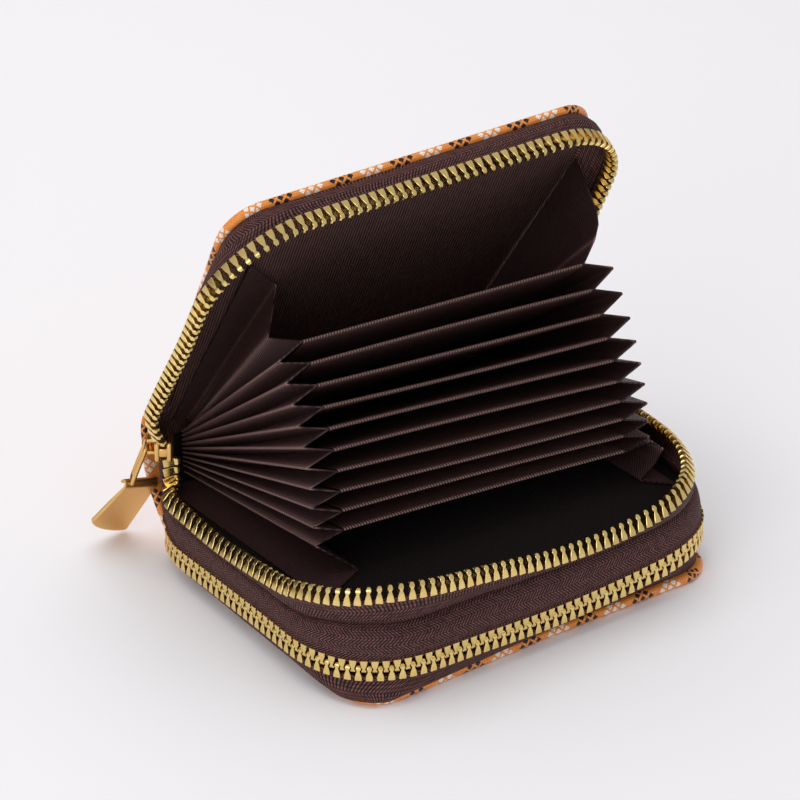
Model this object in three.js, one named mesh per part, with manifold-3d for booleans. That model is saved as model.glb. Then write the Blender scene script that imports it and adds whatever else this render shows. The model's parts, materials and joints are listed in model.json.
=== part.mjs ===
// A card wallet: a fan of card pockets and a coin pocket between two covers, shut by two zips.
// Millimetres. X runs along the spine, the front is at -Y and up is +Z. The origin is the middle
// of the underside. The wallet lies on its base with the upper zip open and the lid leaning back.
import * as THREE from "three";
import { mergeVertices } from "three/addons/utils/BufferGeometryUtils.js";
import Module from "manifold-3d";

const wasm = await Module();
wasm.setup();

// Gap left between pieces that touch in the real wallet.
const GAP = 0.3;

// Covers: coated canvas turned over a stiff board, base and lid alike.
const COVER_WIDTH = 108;
const COVER_DEPTH = 83.4;
const COVER_CORNER = 10;
const COVER_BACK_CORNER = 3;
const COVER_THICK = 1.0;
const BOARD_THICK = 0.9;
const LINING_THICK = 0.4;
const BOARD_INSET = 3;
const LINING_INSET = 2;

// Folds at the two long edges of the spine. The spine leans back with the lid.
const FOLD_Y = 42.6;
const FOLD_Z = 0.6;
const FOLD_EASE = 1.2;
const SPINE_CHORD = 33.7;
const SPINE_LEAN = THREE.MathUtils.degToRad(13.4);
const SPINE_BULGE = 4;
const SPINE_WIDTH = 106;
const SPINE_END = 1.5;
const SPINE_STEPS = 10;
const LID_ANGLE = THREE.MathUtils.degToRad(64.2);

// Zip: teeth clamped on the edge of a woven tape. One row is a bead with teeth standing on it.
const TAPE_THICK = 0.8;
const ROW_THICK = 2.0;
const BEAD_HEIGHT = 1.4;
const TOOTH_HEIGHT = 2.5;
const TOOTH_WIDTH = 1.0;
const TOOTH_PITCH = 2.6;
const ROW_HEIGHT = BEAD_HEIGHT + TOOTH_HEIGHT;
const TAPE_FOOT_INSET = 1;
const BELLY_INSET = 2;
const BELLY_CORNER_CUT = 5;

// Lower zip, closed: its two rows mesh half a pitch apart. The chain sags along the front.
const CHAIN_HEIGHT = 5.6;
const CHAIN_WIDTH = 116.5;
const CHAIN_FRONT = -44.1;
const CHAIN_CORNER = 24.8;
const CHAIN_BACK = 40.5;
const CHAIN_RIGHT_END = 35.5;
const CHAIN_END_Z = 8.3;
const CHAIN_HEIGHTS = [CHAIN_END_Z, 8.3, 8.4, 8.2, 6.6, 6.2, 6.6, 7.8, CHAIN_END_Z];
const LOWER_BELLY_FRONT = CHAIN_FRONT + 0.8;
const LOWER_BELLY_Z = 2.2;
const WALL_HIGH_Z = 12.6;

// Seam where the two zips and the divider meet.
const SEAM_Z = 16.6;
const SEAM_WIDTH = 113;
const SEAM_FRONT = -42.2;
const SEAM_CORNER = 24;
const DIVIDER_Z = 17.0;
const DIVIDER_THICK = 1.0;
const DIVIDER_MARGIN = 2.2;
const DIVIDER_BACK = 39.5;

// Rim: where the body row of the upper zip stands. The front left corner is pushed up.
const RIM_WIDTH = 116.4;
const RIM_FRONT = -44.6;
const RIM_LEFT_CORNER = 28;
const RIM_RIGHT_CORNER = 27;
const RIM_BACK = 34.5;
const RIM_STAND = 1.5;
const RIM_HEIGHTS = [19.2, 22.4, 25.6, 26, 23.8, 24.2, 23.8, 22, 19.2];

// Lid side of the upper zip, in the lid's own frame, hanging from the edge of the cover.
const LID_TAPE_DROP = 7.5;
const LID_ROW_WIDTH = 119.5;
const LID_ROW_FRONT = -84.3;
const LID_ROW_LEFT_CORNER = 25;
const LID_ROW_RIGHT_CORNER = 23;
const LID_ROW_BACK = -14.5;
const LID_BELLY_FRONT = LID_ROW_FRONT + 0.6;
const LID_BELLY_DEPTH = 3.4;

// Card pages: flat double pockets hinged one on the other at the back, opening like a fan.
const PAGES = 10;
const PAGE_WIDTH = 81;
const PAGE_DEPTH = 61.5;
const PAGE_THICK = 0.6;
const PAGE_ROOT_Y = 40.5;
const PAGE_ROOT_Z = 20.2;
const PAGE_PITCH = 1.15;
const PAGE_LOW_ANGLE = THREE.MathUtils.degToRad(9.8);
const PAGE_STEP = THREE.MathUtils.degToRad(3.956);

// Gussets: one pleated strip of cloth on each side of the fan, a ridge between each two pages.
const RIDGE_X = 47.9;
const VALLEY_X = PAGE_WIDTH / 2 + 0.35;
const RIDGE_SETBACK = 2.4;
const LID_RIDGE_SHIFT = new THREE.Vector2(3.6, 3.2);
const FLOOR_RIDGE_SHIFT = new THREE.Vector2(3.4, -2.4);
const PLEAT_SHIFT = [2.2, 0.7];
const LID_FLAP_ROOT = 5;
const LID_FLAP_REACH = 50;
const LID_FLAP_X = 33;
const FLOOR_FLAP_Y = -15;
const FLOOR_FLAP_BACK = DIVIDER_BACK - 1;
const FLOOR_FLAP_X = 36;

// Sliders and pulls. The upper slider stands at the left end of the spine.
const SLIDER_LENGTH = 7;
const SLIDER_MOUTH = 8.6;
const SLIDER_TAIL = 7.4;
const SLIDER_SLOT = 3.0;
const PLATE_THICK = 0.8;
const PLATE_EASE = 0.8;
const POST_FRONT = 0.3;
const POST_WIDEST = 2.2;
const POST_TIP = 3.4;
const POST_HALF = 0.9;
const FUSE = 0.2;
const LIP_DEPTH = 0.8;
const LIP_HEIGHT = 0.6;
const STRAP_WIDTH = 1.2;
const STRAP_THICK = 0.8;
const STRAP_SPAN = 4.6;
const STRAP_RISE = 1.9;
const UPPER_SLIDER_AT = new THREE.Vector3(-53.9, 44.3, 31.4);
const UPPER_SLIDER_TURN = THREE.MathUtils.degToRad(-34.8);
const LOWER_SLIDER_AT = new THREE.Vector3(CHAIN_WIDTH / 2, 36.5, CHAIN_END_Z);
const RING_LENGTH = 10.6;
const RING_HALF = 2.7;
const RING_WIRE = 0.6;
const RING_CORNER = 1.3;
const RING_ARC_STEPS = 3;
const RING_SIDES = 8;
const RING_TILT = THREE.MathUtils.degToRad(17);
const TAB_WIDTH = 9;
const UPPER_TAB_LENGTH = 22.4;
const LOWER_TAB_LENGTH = 15;
const TAB_HEAD = 2.1;
const TAB_EASE = 1.2;
const TAB_THICK = 1.0;
const TAB_HOLE_TOP = 1.15;
const TAB_HOLE_LOW = -3.2;
const TAB_HOLE_HALF = 2.3;
const TAB_HOLE_CORNER = 0.7;
const TAB_ACROSS = new THREE.Vector3(0.971, -0.037, -0.224);
const TAB_DOWN = new THREE.Vector3(-0.174, 0.543, -0.823);
const STOP_HALF = 1.6;
const STOP_HALF_HEIGHT = 2.6;
const STOP_AT = new THREE.Vector3(55.1, 43.5, 31.4);

// Ends of the upper zip on the right-hand side, from the straight row back to the spine.
const BODY_END = [[58.2, 35.1, 19.5], [58.1, 37.4, 20.8], [57.6, 39.1, 24.2], [57.1, 39.5, 28.1]];
const BODY_END_UP = [[0, 0, 1], [0, -0.7, 0.7], [0, -0.95, 0.3], [0, -0.9, 0.43]];
const BODY_TAPE_TOP = [[58.2, 34.9, 19.2], [58.1, 37.8, 20.5], [57.6, 40, 24.2], [57, 41, 27.7]];
const BODY_TAPE_LOW = [[56.5, 34.9, 16.9], [56.5, 38, 17], [56.3, 41, 17.4], [56, 43, 18]];
const LID_END = [[59.7, 37.3, 42.5], [59.5, 38.9, 39.8], [58.9, 40.2, 36.8], [58.3, 40.7, 34.9]];
const LID_END_UP = [[0, -0.9, -0.435], [0, -0.88, -0.46], [0, -0.85, -0.5], [0, -0.8, -0.6]];
const LID_TAPE_LOW = [[59.7, 37.6, 42.9], [59.5, 39.5, 39.9], [59, 41, 37.4], [57.6, 42.6, 36.4]];
const LID_TAPE_TOP = [[54, 43.3, 45.6], [54, 44.8, 42.2], [54, 46.8, 38.4], [54, 47.8, 36]];
const END_OUT = [[1, 0, 0], [0.97, -0.24, 0], [0.92, -0.4, 0]];
const END_STEPS = 6;
const END_TAPE_STEPS = 4;

// Steps along the side, the corner and the front of a zip path.
const SIDE_STEPS = 5;
const ARC_STEPS = 8;
const FRONT_STEPS = 7;

const material = (name, color, roughness, metalness) =>
  new THREE.MeshStandardMaterial({ name, color, roughness, metalness });
const CANVAS = material("orange_canvas", 0xe8792a, 0.55, 0);
const BOARD = material("grey_board", 0x8a7f74, 0.9, 0);
const LINING = material("black_lining", 0x171012, 0.8, 0);
const PAGE_CLOTH = material("page_cloth", 0x2a1d20, 0.75, 0);
const GUSSET_CLOTH = material("gusset_satin", 0x33242a, 0.5, 0);
const TAPE = material("zip_tape", 0x3a2830, 0.85, 0);
const BRASS = material("brass", 0xc9a955, 0.3, 1);
const PULL_GOLD = material("pull_gold", 0xcfa966, 0.28, 1);

const wallet = new THREE.Group();
wallet.name = "card_wallet";
const base = new THREE.Group();
const spine = new THREE.Group();
const lid = new THREE.Group();
spine.position.set(0, FOLD_Y, FOLD_Z);
spine.rotation.x = -SPINE_LEAN;
lid.position.set(0, 0, SPINE_CHORD);
lid.rotation.x = SPINE_LEAN - LID_ANGLE;
wallet.add(base, spine);
spine.add(lid);

function add(parent, name, geometry, look) {
  const mesh = new THREE.Mesh(geometry, look);
  mesh.name = name;
  parent.add(mesh);
  return mesh;
}

// Geometry from points and triangles, turned so that its faces look outwards.
function solid(points, triangles) {
  let volume = 0;
  const cross = new THREE.Vector3();
  for (const [a, b, c] of triangles) {
    volume += points[a].dot(cross.crossVectors(points[b], points[c]));
  }
  const turned = volume < 0 ? triangles.map(([a, b, c]) => [a, c, b]) : triangles;
  const geometry = new THREE.BufferGeometry().setFromPoints(points);
  geometry.setIndex(turned.flat());
  geometry.computeVertexNormals();
  return geometry;
}

// A sheet with thickness: the space between two grids of points that match one to one.
function sheet(near, far) {
  const rows = near.length;
  const columns = near[0].length;
  const points = [...near.flat(), ...far.flat()];
  const low = (i, j) => i * columns + j;
  const high = (i, j) => rows * columns + i * columns + j;
  const triangles = [];
  const quad = (a, b, c, d) => triangles.push([a, b, c], [a, c, d]);
  for (let i = 0; i + 1 < rows; i++) {
    for (let j = 0; j + 1 < columns; j++) {
      quad(low(i, j), low(i, j + 1), low(i + 1, j + 1), low(i + 1, j));
      quad(high(i, j), high(i + 1, j), high(i + 1, j + 1), high(i, j + 1));
    }
  }
  for (let i = 0; i + 1 < rows; i++) {
    quad(low(i, 0), low(i + 1, 0), high(i + 1, 0), high(i, 0));
    quad(low(i + 1, columns - 1), low(i, columns - 1), high(i, columns - 1), high(i + 1, columns - 1));
  }
  for (let j = 0; j + 1 < columns; j++) {
    quad(low(0, j + 1), low(0, j), high(0, j), high(0, j + 1));
    quad(low(rows - 1, j), low(rows - 1, j + 1), high(rows - 1, j + 1), high(rows - 1, j));
  }
  return solid(points, triangles);
}

// A flat panel with rounded front corners, lying between two heights.
function panel(width, frontY, backY, corner, lowZ, thick) {
  const half = width / 2;
  const back = COVER_BACK_CORNER;
  const shape = new THREE.Shape();
  shape.moveTo(-half, frontY + corner);
  shape.absarc(-half + corner, frontY + corner, corner, Math.PI, 1.5 * Math.PI);
  shape.absarc(half - corner, frontY + corner, corner, 1.5 * Math.PI, 2 * Math.PI);
  shape.absarc(half - back, backY - back, back, 0, 0.5 * Math.PI);
  shape.absarc(-half + back, backY - back, back, 0.5 * Math.PI, Math.PI);
  const geometry = new THREE.ExtrudeGeometry(shape, { depth: thick, bevelEnabled: false, curveSegments: 5 });
  return geometry.translate(0, 0, lowZ);
}

// The path of a zip in plan: down the left side, round the front and up the right side.
function zipPath(width, frontY, backY, leftCorner, rightCorner) {
  const half = width / 2;
  const stations = [];
  const put = (x, y, angle) =>
    stations.push({ x, y, out: new THREE.Vector3(Math.cos(angle), Math.sin(angle), 0) });
  const leftEnd = frontY + leftCorner;
  const rightEnd = frontY + rightCorner;
  for (let i = 0; i < SIDE_STEPS; i++) {
    put(-half, THREE.MathUtils.lerp(backY, leftEnd, i / SIDE_STEPS), Math.PI);
  }
  for (let i = 0; i < ARC_STEPS; i++) {
    const angle = Math.PI * (1 + 0.5 * (i / ARC_STEPS));
    put(-half + leftCorner * (1 + Math.cos(angle)), frontY + leftCorner * (1 + Math.sin(angle)), angle);
  }
  for (let i = 0; i < FRONT_STEPS; i++) {
    put(THREE.MathUtils.lerp(-half + leftCorner, half - rightCorner, i / FRONT_STEPS), frontY, 1.5 * Math.PI);
  }
  for (let i = 0; i < ARC_STEPS; i++) {
    const angle = Math.PI * (1.5 + 0.5 * (i / ARC_STEPS));
    put(half - rightCorner * (1 - Math.cos(angle)), frontY + rightCorner * (1 + Math.sin(angle)), angle);
  }
  for (let i = 0; i <= SIDE_STEPS; i++) {
    put(half, THREE.MathUtils.lerp(rightEnd, backY, i / SIDE_STEPS), 2 * Math.PI);
  }
  return stations.map((station, i) => ({ ...station, share: i / (stations.length - 1) }));
}

// The same path cut off on the right-hand side at one place along Y.
function cutRight(path, y) {
  const next = path.findIndex((station) => station.x > 0 && station.y > y);
  const [from, to] = [path[next - 1], path[next]];
  const share = THREE.MathUtils.mapLinear(y, from.y, to.y, from.share, to.share);
  return [...path.slice(0, next), { ...from, y, share }];
}

// A smooth height along a path from a few evenly spaced values.
function heightAlong(values) {
  const curve = new THREE.CatmullRomCurve3(values.map((v, i) => new THREE.Vector3(i, 0, v)));
  return (share) => curve.getPoint(share).z;
}

// A tape: a thin wall through several levels, each a path and its height.
function tape(levels) {
  const side = (offset) =>
    levels.map(({ path, height }) =>
      path.map(({ x, y, out, share }) => new THREE.Vector3(x, y, height(share)).addScaledVector(out, offset)));
  return sheet(side(-TAPE_THICK / 2), side(TAPE_THICK / 2));
}

const level = (z) => () => z;

// A track that a row of teeth follows: points, outward directions and tooth directions.
function track(points, outs, ups) {
  const reach = [0];
  for (let i = 1; i < points.length; i++) {
    reach.push(reach[i - 1] + points[i].distanceTo(points[i - 1]));
  }
  const at = (s) => {
    let i = 0;
    while (i + 2 < points.length && reach[i + 1] < s) {
      i++;
    }
    const t = (s - reach[i]) / (reach[i + 1] - reach[i]);
    return {
      point: points[i].clone().lerp(points[i + 1], t),
      out: outs[i].clone().lerp(outs[i + 1], t).normalize(),
      up: ups[i].clone().lerp(ups[i + 1], t).normalize(),
    };
  };
  return { at, length: reach[reach.length - 1] };
}

function planTrack(path, height, up) {
  const points = path.map(({ x, y, share }) => new THREE.Vector3(x, y, height(share)));
  return track(points, path.map(({ out }) => out), path.map(() => new THREE.Vector3(0, 0, up)));
}

// A row of teeth as one comb: a bead along the track with a tooth at each pitch.
function teeth({ at, length }, start) {
  const count = Math.floor((length - start - TOOTH_WIDTH) / TOOTH_PITCH);
  const points = [];
  const triangles = [];
  const vertex = (s, height, side) => {
    const { point, out, up } = at(s);
    points.push(point.addScaledVector(out, (side * ROW_THICK) / 2).addScaledVector(up, height));
  };
  for (let k = 0; k <= count; k++) {
    const from = start + k * TOOTH_PITCH;
    for (const side of [-1, 1]) {
      vertex(from, 0, side);
      vertex(from, BEAD_HEIGHT, side);
      vertex(from, ROW_HEIGHT, side);
      vertex(from + TOOTH_WIDTH, ROW_HEIGHT, side);
      vertex(from + TOOTH_WIDTH, BEAD_HEIGHT, side);
    }
  }
  const quad = (a, b, c, d) => triangles.push([a, b, c], [a, c, d]);
  for (let k = 0; k < count; k++) {
    const [a, b, c, d, e] = [0, 1, 2, 3, 4].map((v) => k * 10 + v);
    const [a2, b2] = [a + 10, b + 10];
    const face = [[a, a2, b2], [a, b2, e], [a, e, b], [b, e, d], [b, d, c]];
    for (const [p, q, r] of face) {
      triangles.push([p, r, q], [p + 5, q + 5, r + 5]);
    }
    for (const [p, q] of [[a, a2], [b2, e], [e, d], [d, c], [c, b]]) {
      quad(p, q, q + 5, p + 5);
    }
  }
  const [first, last] = [0, count * 10];
  quad(first + 1, first, first + 5, first + 6);
  quad(last, last + 1, last + 6, last + 5);
  const used = new Map();
  for (const index of triangles.flat()) {
    if (!used.has(index)) {
      used.set(index, used.size);
    }
  }
  const kept = [...used.keys()].map((index) => points[index]);
  return solid(kept, triangles.map((corners) => corners.map((index) => used.get(index))));
}

// Base: cover, board, coin pocket lining, lower zip, divider, floor and the body side of the upper zip.
const COVER_FRONT = FOLD_Y - FOLD_EASE - COVER_DEPTH;
const COVER_BACK = FOLD_Y - FOLD_EASE;
const boardZ = COVER_THICK + GAP;
const liningZ = boardZ + BOARD_THICK + GAP;
add(base, "base_cover", panel(COVER_WIDTH, COVER_FRONT, COVER_BACK, COVER_CORNER, 0, COVER_THICK), CANVAS);
add(
  base,
  "base_board",
  panel(COVER_WIDTH - 2 * BOARD_INSET, COVER_FRONT + BOARD_INSET, COVER_BACK - BOARD_INSET, COVER_CORNER,
    boardZ, BOARD_THICK),
  BOARD,
);
add(
  base,
  "coin_pocket_floor",
  panel(COVER_WIDTH - 2 * LINING_INSET, COVER_FRONT + LINING_INSET, COVER_BACK - LINING_INSET, COVER_CORNER,
    liningZ, LINING_THICK),
  LINING,
);

const footWidth = COVER_WIDTH - 2 * TAPE_FOOT_INSET;
const footPath = zipPath(footWidth, COVER_FRONT + TAPE_FOOT_INSET, CHAIN_BACK, COVER_CORNER, COVER_CORNER);
const bellyCorner = CHAIN_CORNER - BELLY_CORNER_CUT;
const bellyWidth = CHAIN_WIDTH - 2 * BELLY_INSET;
const bellyPath = zipPath(bellyWidth, LOWER_BELLY_FRONT, CHAIN_BACK, bellyCorner, bellyCorner);
const chainPath = zipPath(CHAIN_WIDTH, CHAIN_FRONT, CHAIN_BACK, CHAIN_CORNER, CHAIN_CORNER);
const seamPath = zipPath(SEAM_WIDTH, SEAM_FRONT, RIM_BACK, SEAM_CORNER, SEAM_CORNER);
const lowerSeamPath = zipPath(SEAM_WIDTH, SEAM_FRONT, CHAIN_BACK, SEAM_CORNER, SEAM_CORNER);
const rimPath = zipPath(RIM_WIDTH, RIM_FRONT, RIM_BACK, RIM_LEFT_CORNER, RIM_RIGHT_CORNER);
const chainMiddle = heightAlong(CHAIN_HEIGHTS);
const chainLow = (share) => chainMiddle(share) - CHAIN_HEIGHT / 2;
const chainHigh = (share) => chainMiddle(share) + CHAIN_HEIGHT / 2;
add(
  base,
  "lower_zip_base_tape",
  tape([
    { path: footPath, height: level(COVER_THICK + GAP) },
    { path: bellyPath, height: level(LOWER_BELLY_Z) },
    { path: chainPath, height: (share) => (LOWER_BELLY_Z + chainLow(share) - GAP) / 2 },
    { path: chainPath, height: (share) => chainLow(share) - GAP },
  ]),
  TAPE,
);
add(
  base,
  "lower_zip_body_tape",
  tape([
    { path: chainPath, height: (share) => chainHigh(share) + GAP },
    { path: chainPath, height: level(WALL_HIGH_Z) },
    { path: lowerSeamPath, height: level(SEAM_Z - GAP / 2) },
  ]),
  TAPE,
);
const meshedPath = cutRight(chainPath, CHAIN_RIGHT_END);
const baseRow = teeth(planTrack(meshedPath, chainLow, 1), 0);
const bodyRow = teeth(planTrack(meshedPath, chainHigh, -1), TOOTH_PITCH / 2);
add(base, "lower_zip_base_teeth", baseRow, BRASS);
add(base, "lower_zip_body_teeth", bodyRow, BRASS);

const dividerFront = SEAM_FRONT + DIVIDER_MARGIN;
const dividerWidth = SEAM_WIDTH - 2 * DIVIDER_MARGIN;
const floorZ = DIVIDER_Z + DIVIDER_THICK + GAP;
const floorTop = floorZ + LINING_THICK;
const floorPanel = (z, thick) => panel(dividerWidth, dividerFront, DIVIDER_BACK, SEAM_CORNER, z, thick);
add(base, "divider_board", floorPanel(DIVIDER_Z, DIVIDER_THICK), BOARD);
add(base, "floor_lining", floorPanel(floorZ, LINING_THICK), LINING);

const rimHeight = heightAlong(RIM_HEIGHTS);
add(
  base,
  "upper_zip_body_tape",
  tape([
    { path: seamPath, height: level(SEAM_Z + GAP / 2) },
    { path: rimPath, height: (share) => rimHeight(share) - RIM_STAND },
    { path: rimPath, height: rimHeight },
  ]),
  TAPE,
);
add(base, "upper_zip_body_teeth", teeth(planTrack(rimPath, (share) => rimHeight(share) + GAP, 1), 0), BRASS);

// Spine: a rounded panel of cover with its lining, between the two folds.
function spinePanel(depth, thick, width) {
  const bulge = (z) => SPINE_BULGE * (1 - (2 * z / SPINE_CHORD - 1) ** 2);
  const face = (offset) => {
    const rows = [];
    for (let i = 0; i <= SPINE_STEPS; i++) {
      const z = THREE.MathUtils.lerp(SPINE_END, SPINE_CHORD - SPINE_END, i / SPINE_STEPS);
      rows.push([-1, 1].map((side) => new THREE.Vector3((side * width) / 2, bulge(z) - offset, z)));
    }
    return rows;
  };
  return sheet(face(depth + thick), face(depth));
}
add(spine, "spine_cover", spinePanel(0, COVER_THICK, SPINE_WIDTH), CANVAS);
const spineLiningWidth = SPINE_WIDTH - 2 * LINING_INSET;
add(spine, "spine_lining", spinePanel(COVER_THICK + GAP, LINING_THICK, spineLiningWidth), LINING);

// Lid: cover, board, lining and the lid side of the upper zip, drawn as if the wallet were shut.
const lidFront = -FOLD_EASE - COVER_DEPTH;
const lidBoardZ = -COVER_THICK - GAP - BOARD_THICK;
const lidLiningZ = lidBoardZ - GAP - LINING_THICK;
const lidPanel = panel(COVER_WIDTH, lidFront, -FOLD_EASE, COVER_CORNER, -COVER_THICK, COVER_THICK);
add(lid, "lid_cover", lidPanel, CANVAS);
add(
  lid,
  "lid_board",
  panel(COVER_WIDTH - 2 * BOARD_INSET, lidFront + BOARD_INSET, -FOLD_EASE - BOARD_INSET, COVER_CORNER,
    lidBoardZ, BOARD_THICK),
  BOARD,
);
add(
  lid,
  "lid_lining",
  panel(COVER_WIDTH - 2 * LINING_INSET, lidFront + LINING_INSET, -FOLD_EASE - LINING_INSET, COVER_CORNER,
    lidLiningZ, LINING_THICK),
  LINING,
);
const lidFootPath = zipPath(footWidth, lidFront + TAPE_FOOT_INSET, LID_ROW_BACK, COVER_CORNER, COVER_CORNER);
const lidBellyPath = zipPath(LID_ROW_WIDTH - 2 * BELLY_INSET, LID_BELLY_FRONT, LID_ROW_BACK,
  LID_ROW_LEFT_CORNER - BELLY_CORNER_CUT, LID_ROW_RIGHT_CORNER - BELLY_CORNER_CUT);
const lidRowPath = zipPath(LID_ROW_WIDTH, LID_ROW_FRONT, LID_ROW_BACK, LID_ROW_LEFT_CORNER,
  LID_ROW_RIGHT_CORNER);
add(
  lid,
  "upper_zip_lid_tape",
  tape([
    { path: lidFootPath, height: level(-COVER_THICK - GAP) },
    { path: lidBellyPath, height: level(-LID_BELLY_DEPTH) },
    { path: lidRowPath, height: level(-LID_TAPE_DROP) },
  ]),
  TAPE,
);
add(lid, "upper_zip_lid_teeth", teeth(planTrack(lidRowPath, level(-LID_TAPE_DROP - GAP), -1), 0), BRASS);

// Points of the fan in the Y-Z plane: where each page turns and where its front edge lies.
const turn = (angle) => new THREE.Vector2(Math.sin(angle), Math.cos(angle));
const forward = (angle) => new THREE.Vector2(-Math.cos(angle), Math.sin(angle));
const fan = [];
const root = new THREE.Vector2(PAGE_ROOT_Y, PAGE_ROOT_Z);
for (let i = 0; i < PAGES; i++) {
  const angle = PAGE_LOW_ANGLE + i * PAGE_STEP;
  const axis = root.clone();
  fan.unshift({ angle, axis, front: axis.clone().addScaledVector(forward(angle), PAGE_DEPTH) });
  root.addScaledVector(turn(angle), PAGE_PITCH);
}

// Pages: each hangs from its own fold and is counted from the lid down.
fan.forEach(({ angle, axis }, i) => {
  const pivot = new THREE.Group();
  pivot.position.set(0, axis.x, axis.y);
  pivot.rotation.x = -angle;
  base.add(pivot);
  const box = new THREE.BoxGeometry(PAGE_WIDTH, PAGE_DEPTH, PAGE_THICK).translate(0, -PAGE_DEPTH / 2, 0);
  add(pivot, "page_" + String(i + 1).padStart(2, "0"), box, PAGE_CLOTH);
});

// Folds of one gusset from the lid down to the floor, each as a back point and a front point.
const lidAlong = forward(LID_ANGLE);
const lidInward = turn(LID_ANGLE).negate();
const lidFold = new THREE.Vector2(FOLD_Y, FOLD_Z).addScaledVector(turn(SPINE_LEAN), SPINE_CHORD);
const onLid = (reach) => lidFold.clone().addScaledVector(lidAlong, reach)
  .addScaledVector(lidInward, -lidLiningZ + GAP);
const midway = (a, b) => a.clone().add(b).multiplyScalar(0.5);
const folds = [{ x: [VALLEY_X, LID_FLAP_X], back: onLid(LID_FLAP_ROOT), front: onLid(LID_FLAP_REACH) }];
const top = fan[0];
const bottom = fan[PAGES - 1];
folds.push({
  x: [RIDGE_X, RIDGE_X],
  back: midway(top.axis, onLid(LID_FLAP_ROOT)),
  front: top.front.clone().add(LID_RIDGE_SHIFT),
});
fan.forEach((page, i) => {
  folds.push({ x: [VALLEY_X, VALLEY_X], back: page.axis, front: page.front });
  const next = fan[i + 1];
  if (next) {
    const setback = forward(page.angle).multiplyScalar(-RIDGE_SETBACK);
    folds.push({
      x: [RIDGE_X, RIDGE_X],
      back: midway(page.axis, next.axis),
      front: midway(page.front, next.front).add(setback),
    });
  }
});
const floorLine = floorTop + GAP;
folds.push({
  x: [RIDGE_X, RIDGE_X],
  back: new THREE.Vector2(bottom.axis.x, bottom.axis.y - PAGE_PITCH / 2),
  front: bottom.front.clone().add(FLOOR_RIDGE_SHIFT),
});
folds.push({
  x: [VALLEY_X, FLOOR_FLAP_X],
  back: new THREE.Vector2(FLOOR_FLAP_BACK, floorLine),
  front: new THREE.Vector2(FLOOR_FLAP_Y, floorLine),
});

// One gusset: the outer face is the inner one moved sideways by the cloth's thickness along X.
function gusset(side) {
  const face = (outer) =>
    folds.map((fold) => ["back", "front"].map((end, place) => {
      const ridge = fold.x[place] === RIDGE_X;
      const shift = ridge === outer ? 0 : PLEAT_SHIFT[place];
      return new THREE.Vector3(side * (fold.x[place] + (ridge ? -shift : shift)), fold[end].x, fold[end].y);
    }));
  return sheet(face(false), face(true));
}
add(base, "left_gusset", gusset(-1), GUSSET_CLOTH);
add(base, "right_gusset", gusset(1), GUSSET_CLOTH);

// Ends of the upper zip between body or lid and spine: a stretch of teeth and the tape under it.
const mirrored = (points, side) => points.map(([x, y, z]) => new THREE.Vector3(side * x, y, z));
function rowEnd(points, ups, outs) {
  const curve = new THREE.CatmullRomCurve3(points);
  const bend = new THREE.CatmullRomCurve3(ups);
  const flare = new THREE.CatmullRomCurve3(outs);
  const shares = Array.from({ length: END_STEPS + 1 }, (_, i) => i / END_STEPS);
  return track(
    shares.map((t) => curve.getPoint(t)),
    shares.map((t) => flare.getPoint(t).normalize()),
    shares.map((t) => bend.getPoint(t).normalize()),
  );
}
function tapeEnd(upper, lower, outward) {
  const steps = Array.from({ length: END_TAPE_STEPS + 1 }, (_, i) => i / END_TAPE_STEPS);
  const edges = [upper, lower].map((points) => new THREE.CatmullRomCurve3(points));
  const face = (offset) =>
    edges.map((edge) => steps.map((t) => edge.getPoint(t).addScaledVector(outward, offset)));
  return sheet(face(-TAPE_THICK / 2), face(TAPE_THICK / 2));
}
for (const [name, side] of [["left", -1], ["right", 1]]) {
  const outward = new THREE.Vector3(side, 0, 0);
  const outs = mirrored(END_OUT, side);
  add(
    base,
    "upper_zip_body_teeth_" + name,
    teeth(rowEnd(mirrored(BODY_END, side), mirrored(BODY_END_UP, side), outs), 0),
    BRASS,
  );
  add(base, "upper_zip_body_tape_" + name,
    tapeEnd(mirrored(BODY_TAPE_TOP, side), mirrored(BODY_TAPE_LOW, side), outward), TAPE);
  add(
    base,
    "upper_zip_lid_teeth_" + name,
    teeth(rowEnd(mirrored(LID_END, side), mirrored(LID_END_UP, side), outs), 0),
    BRASS,
  );
  add(base, "upper_zip_lid_tape_" + name,
    tapeEnd(mirrored(LID_TAPE_LOW, side), mirrored(LID_TAPE_TOP, side), outward), TAPE);
}

// Solids joined into one, and an outline in the Y-Z plane made thick along X.
function join(pieces) {
  const made = pieces.map((piece) => {
    const bare = new THREE.BufferGeometry();
    const plain = piece.index ? piece.toNonIndexed() : piece;
    bare.setAttribute("position", plain.getAttribute("position"));
    const merged = mergeVertices(bare, 1e-4);
    return new wasm.Manifold(new wasm.Mesh({
      numProp: 3,
      vertProperties: merged.getAttribute("position").array,
      triVerts: new Uint32Array(merged.index.array),
    }));
  });
  const { vertProperties, triVerts } = made.reduce((whole, piece) => whole.add(piece)).getMesh();
  const geometry = new THREE.BufferGeometry();
  geometry.setAttribute("position", new THREE.BufferAttribute(new Float32Array(vertProperties), 3));
  geometry.setIndex(new THREE.BufferAttribute(new Uint32Array(triVerts), 1));
  geometry.computeVertexNormals();
  return geometry;
}
const ALONG = new THREE.Vector3(0, 1, 0);
const ACROSS = new THREE.Vector3(0, 0, 1);
const OUT = new THREE.Vector3(1, 0, 0);
function standing(corners, from, to) {
  const shape = new THREE.Shape(corners.map(([y, z]) => new THREE.Vector2(y, z)));
  const geometry = new THREE.ExtrudeGeometry(shape, { depth: to - from, bevelEnabled: false });
  return geometry.translate(0, 0, from).applyMatrix4(new THREE.Matrix4().makeBasis(ALONG, ACROSS, OUT));
}
const block = (x0, x1, y0, y1, z0, z1) =>
  new THREE.BoxGeometry(x1 - x0, y1 - y0, z1 - z0).translate((x0 + x1) / 2, (y0 + y1) / 2, (z0 + z1) / 2);

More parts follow.
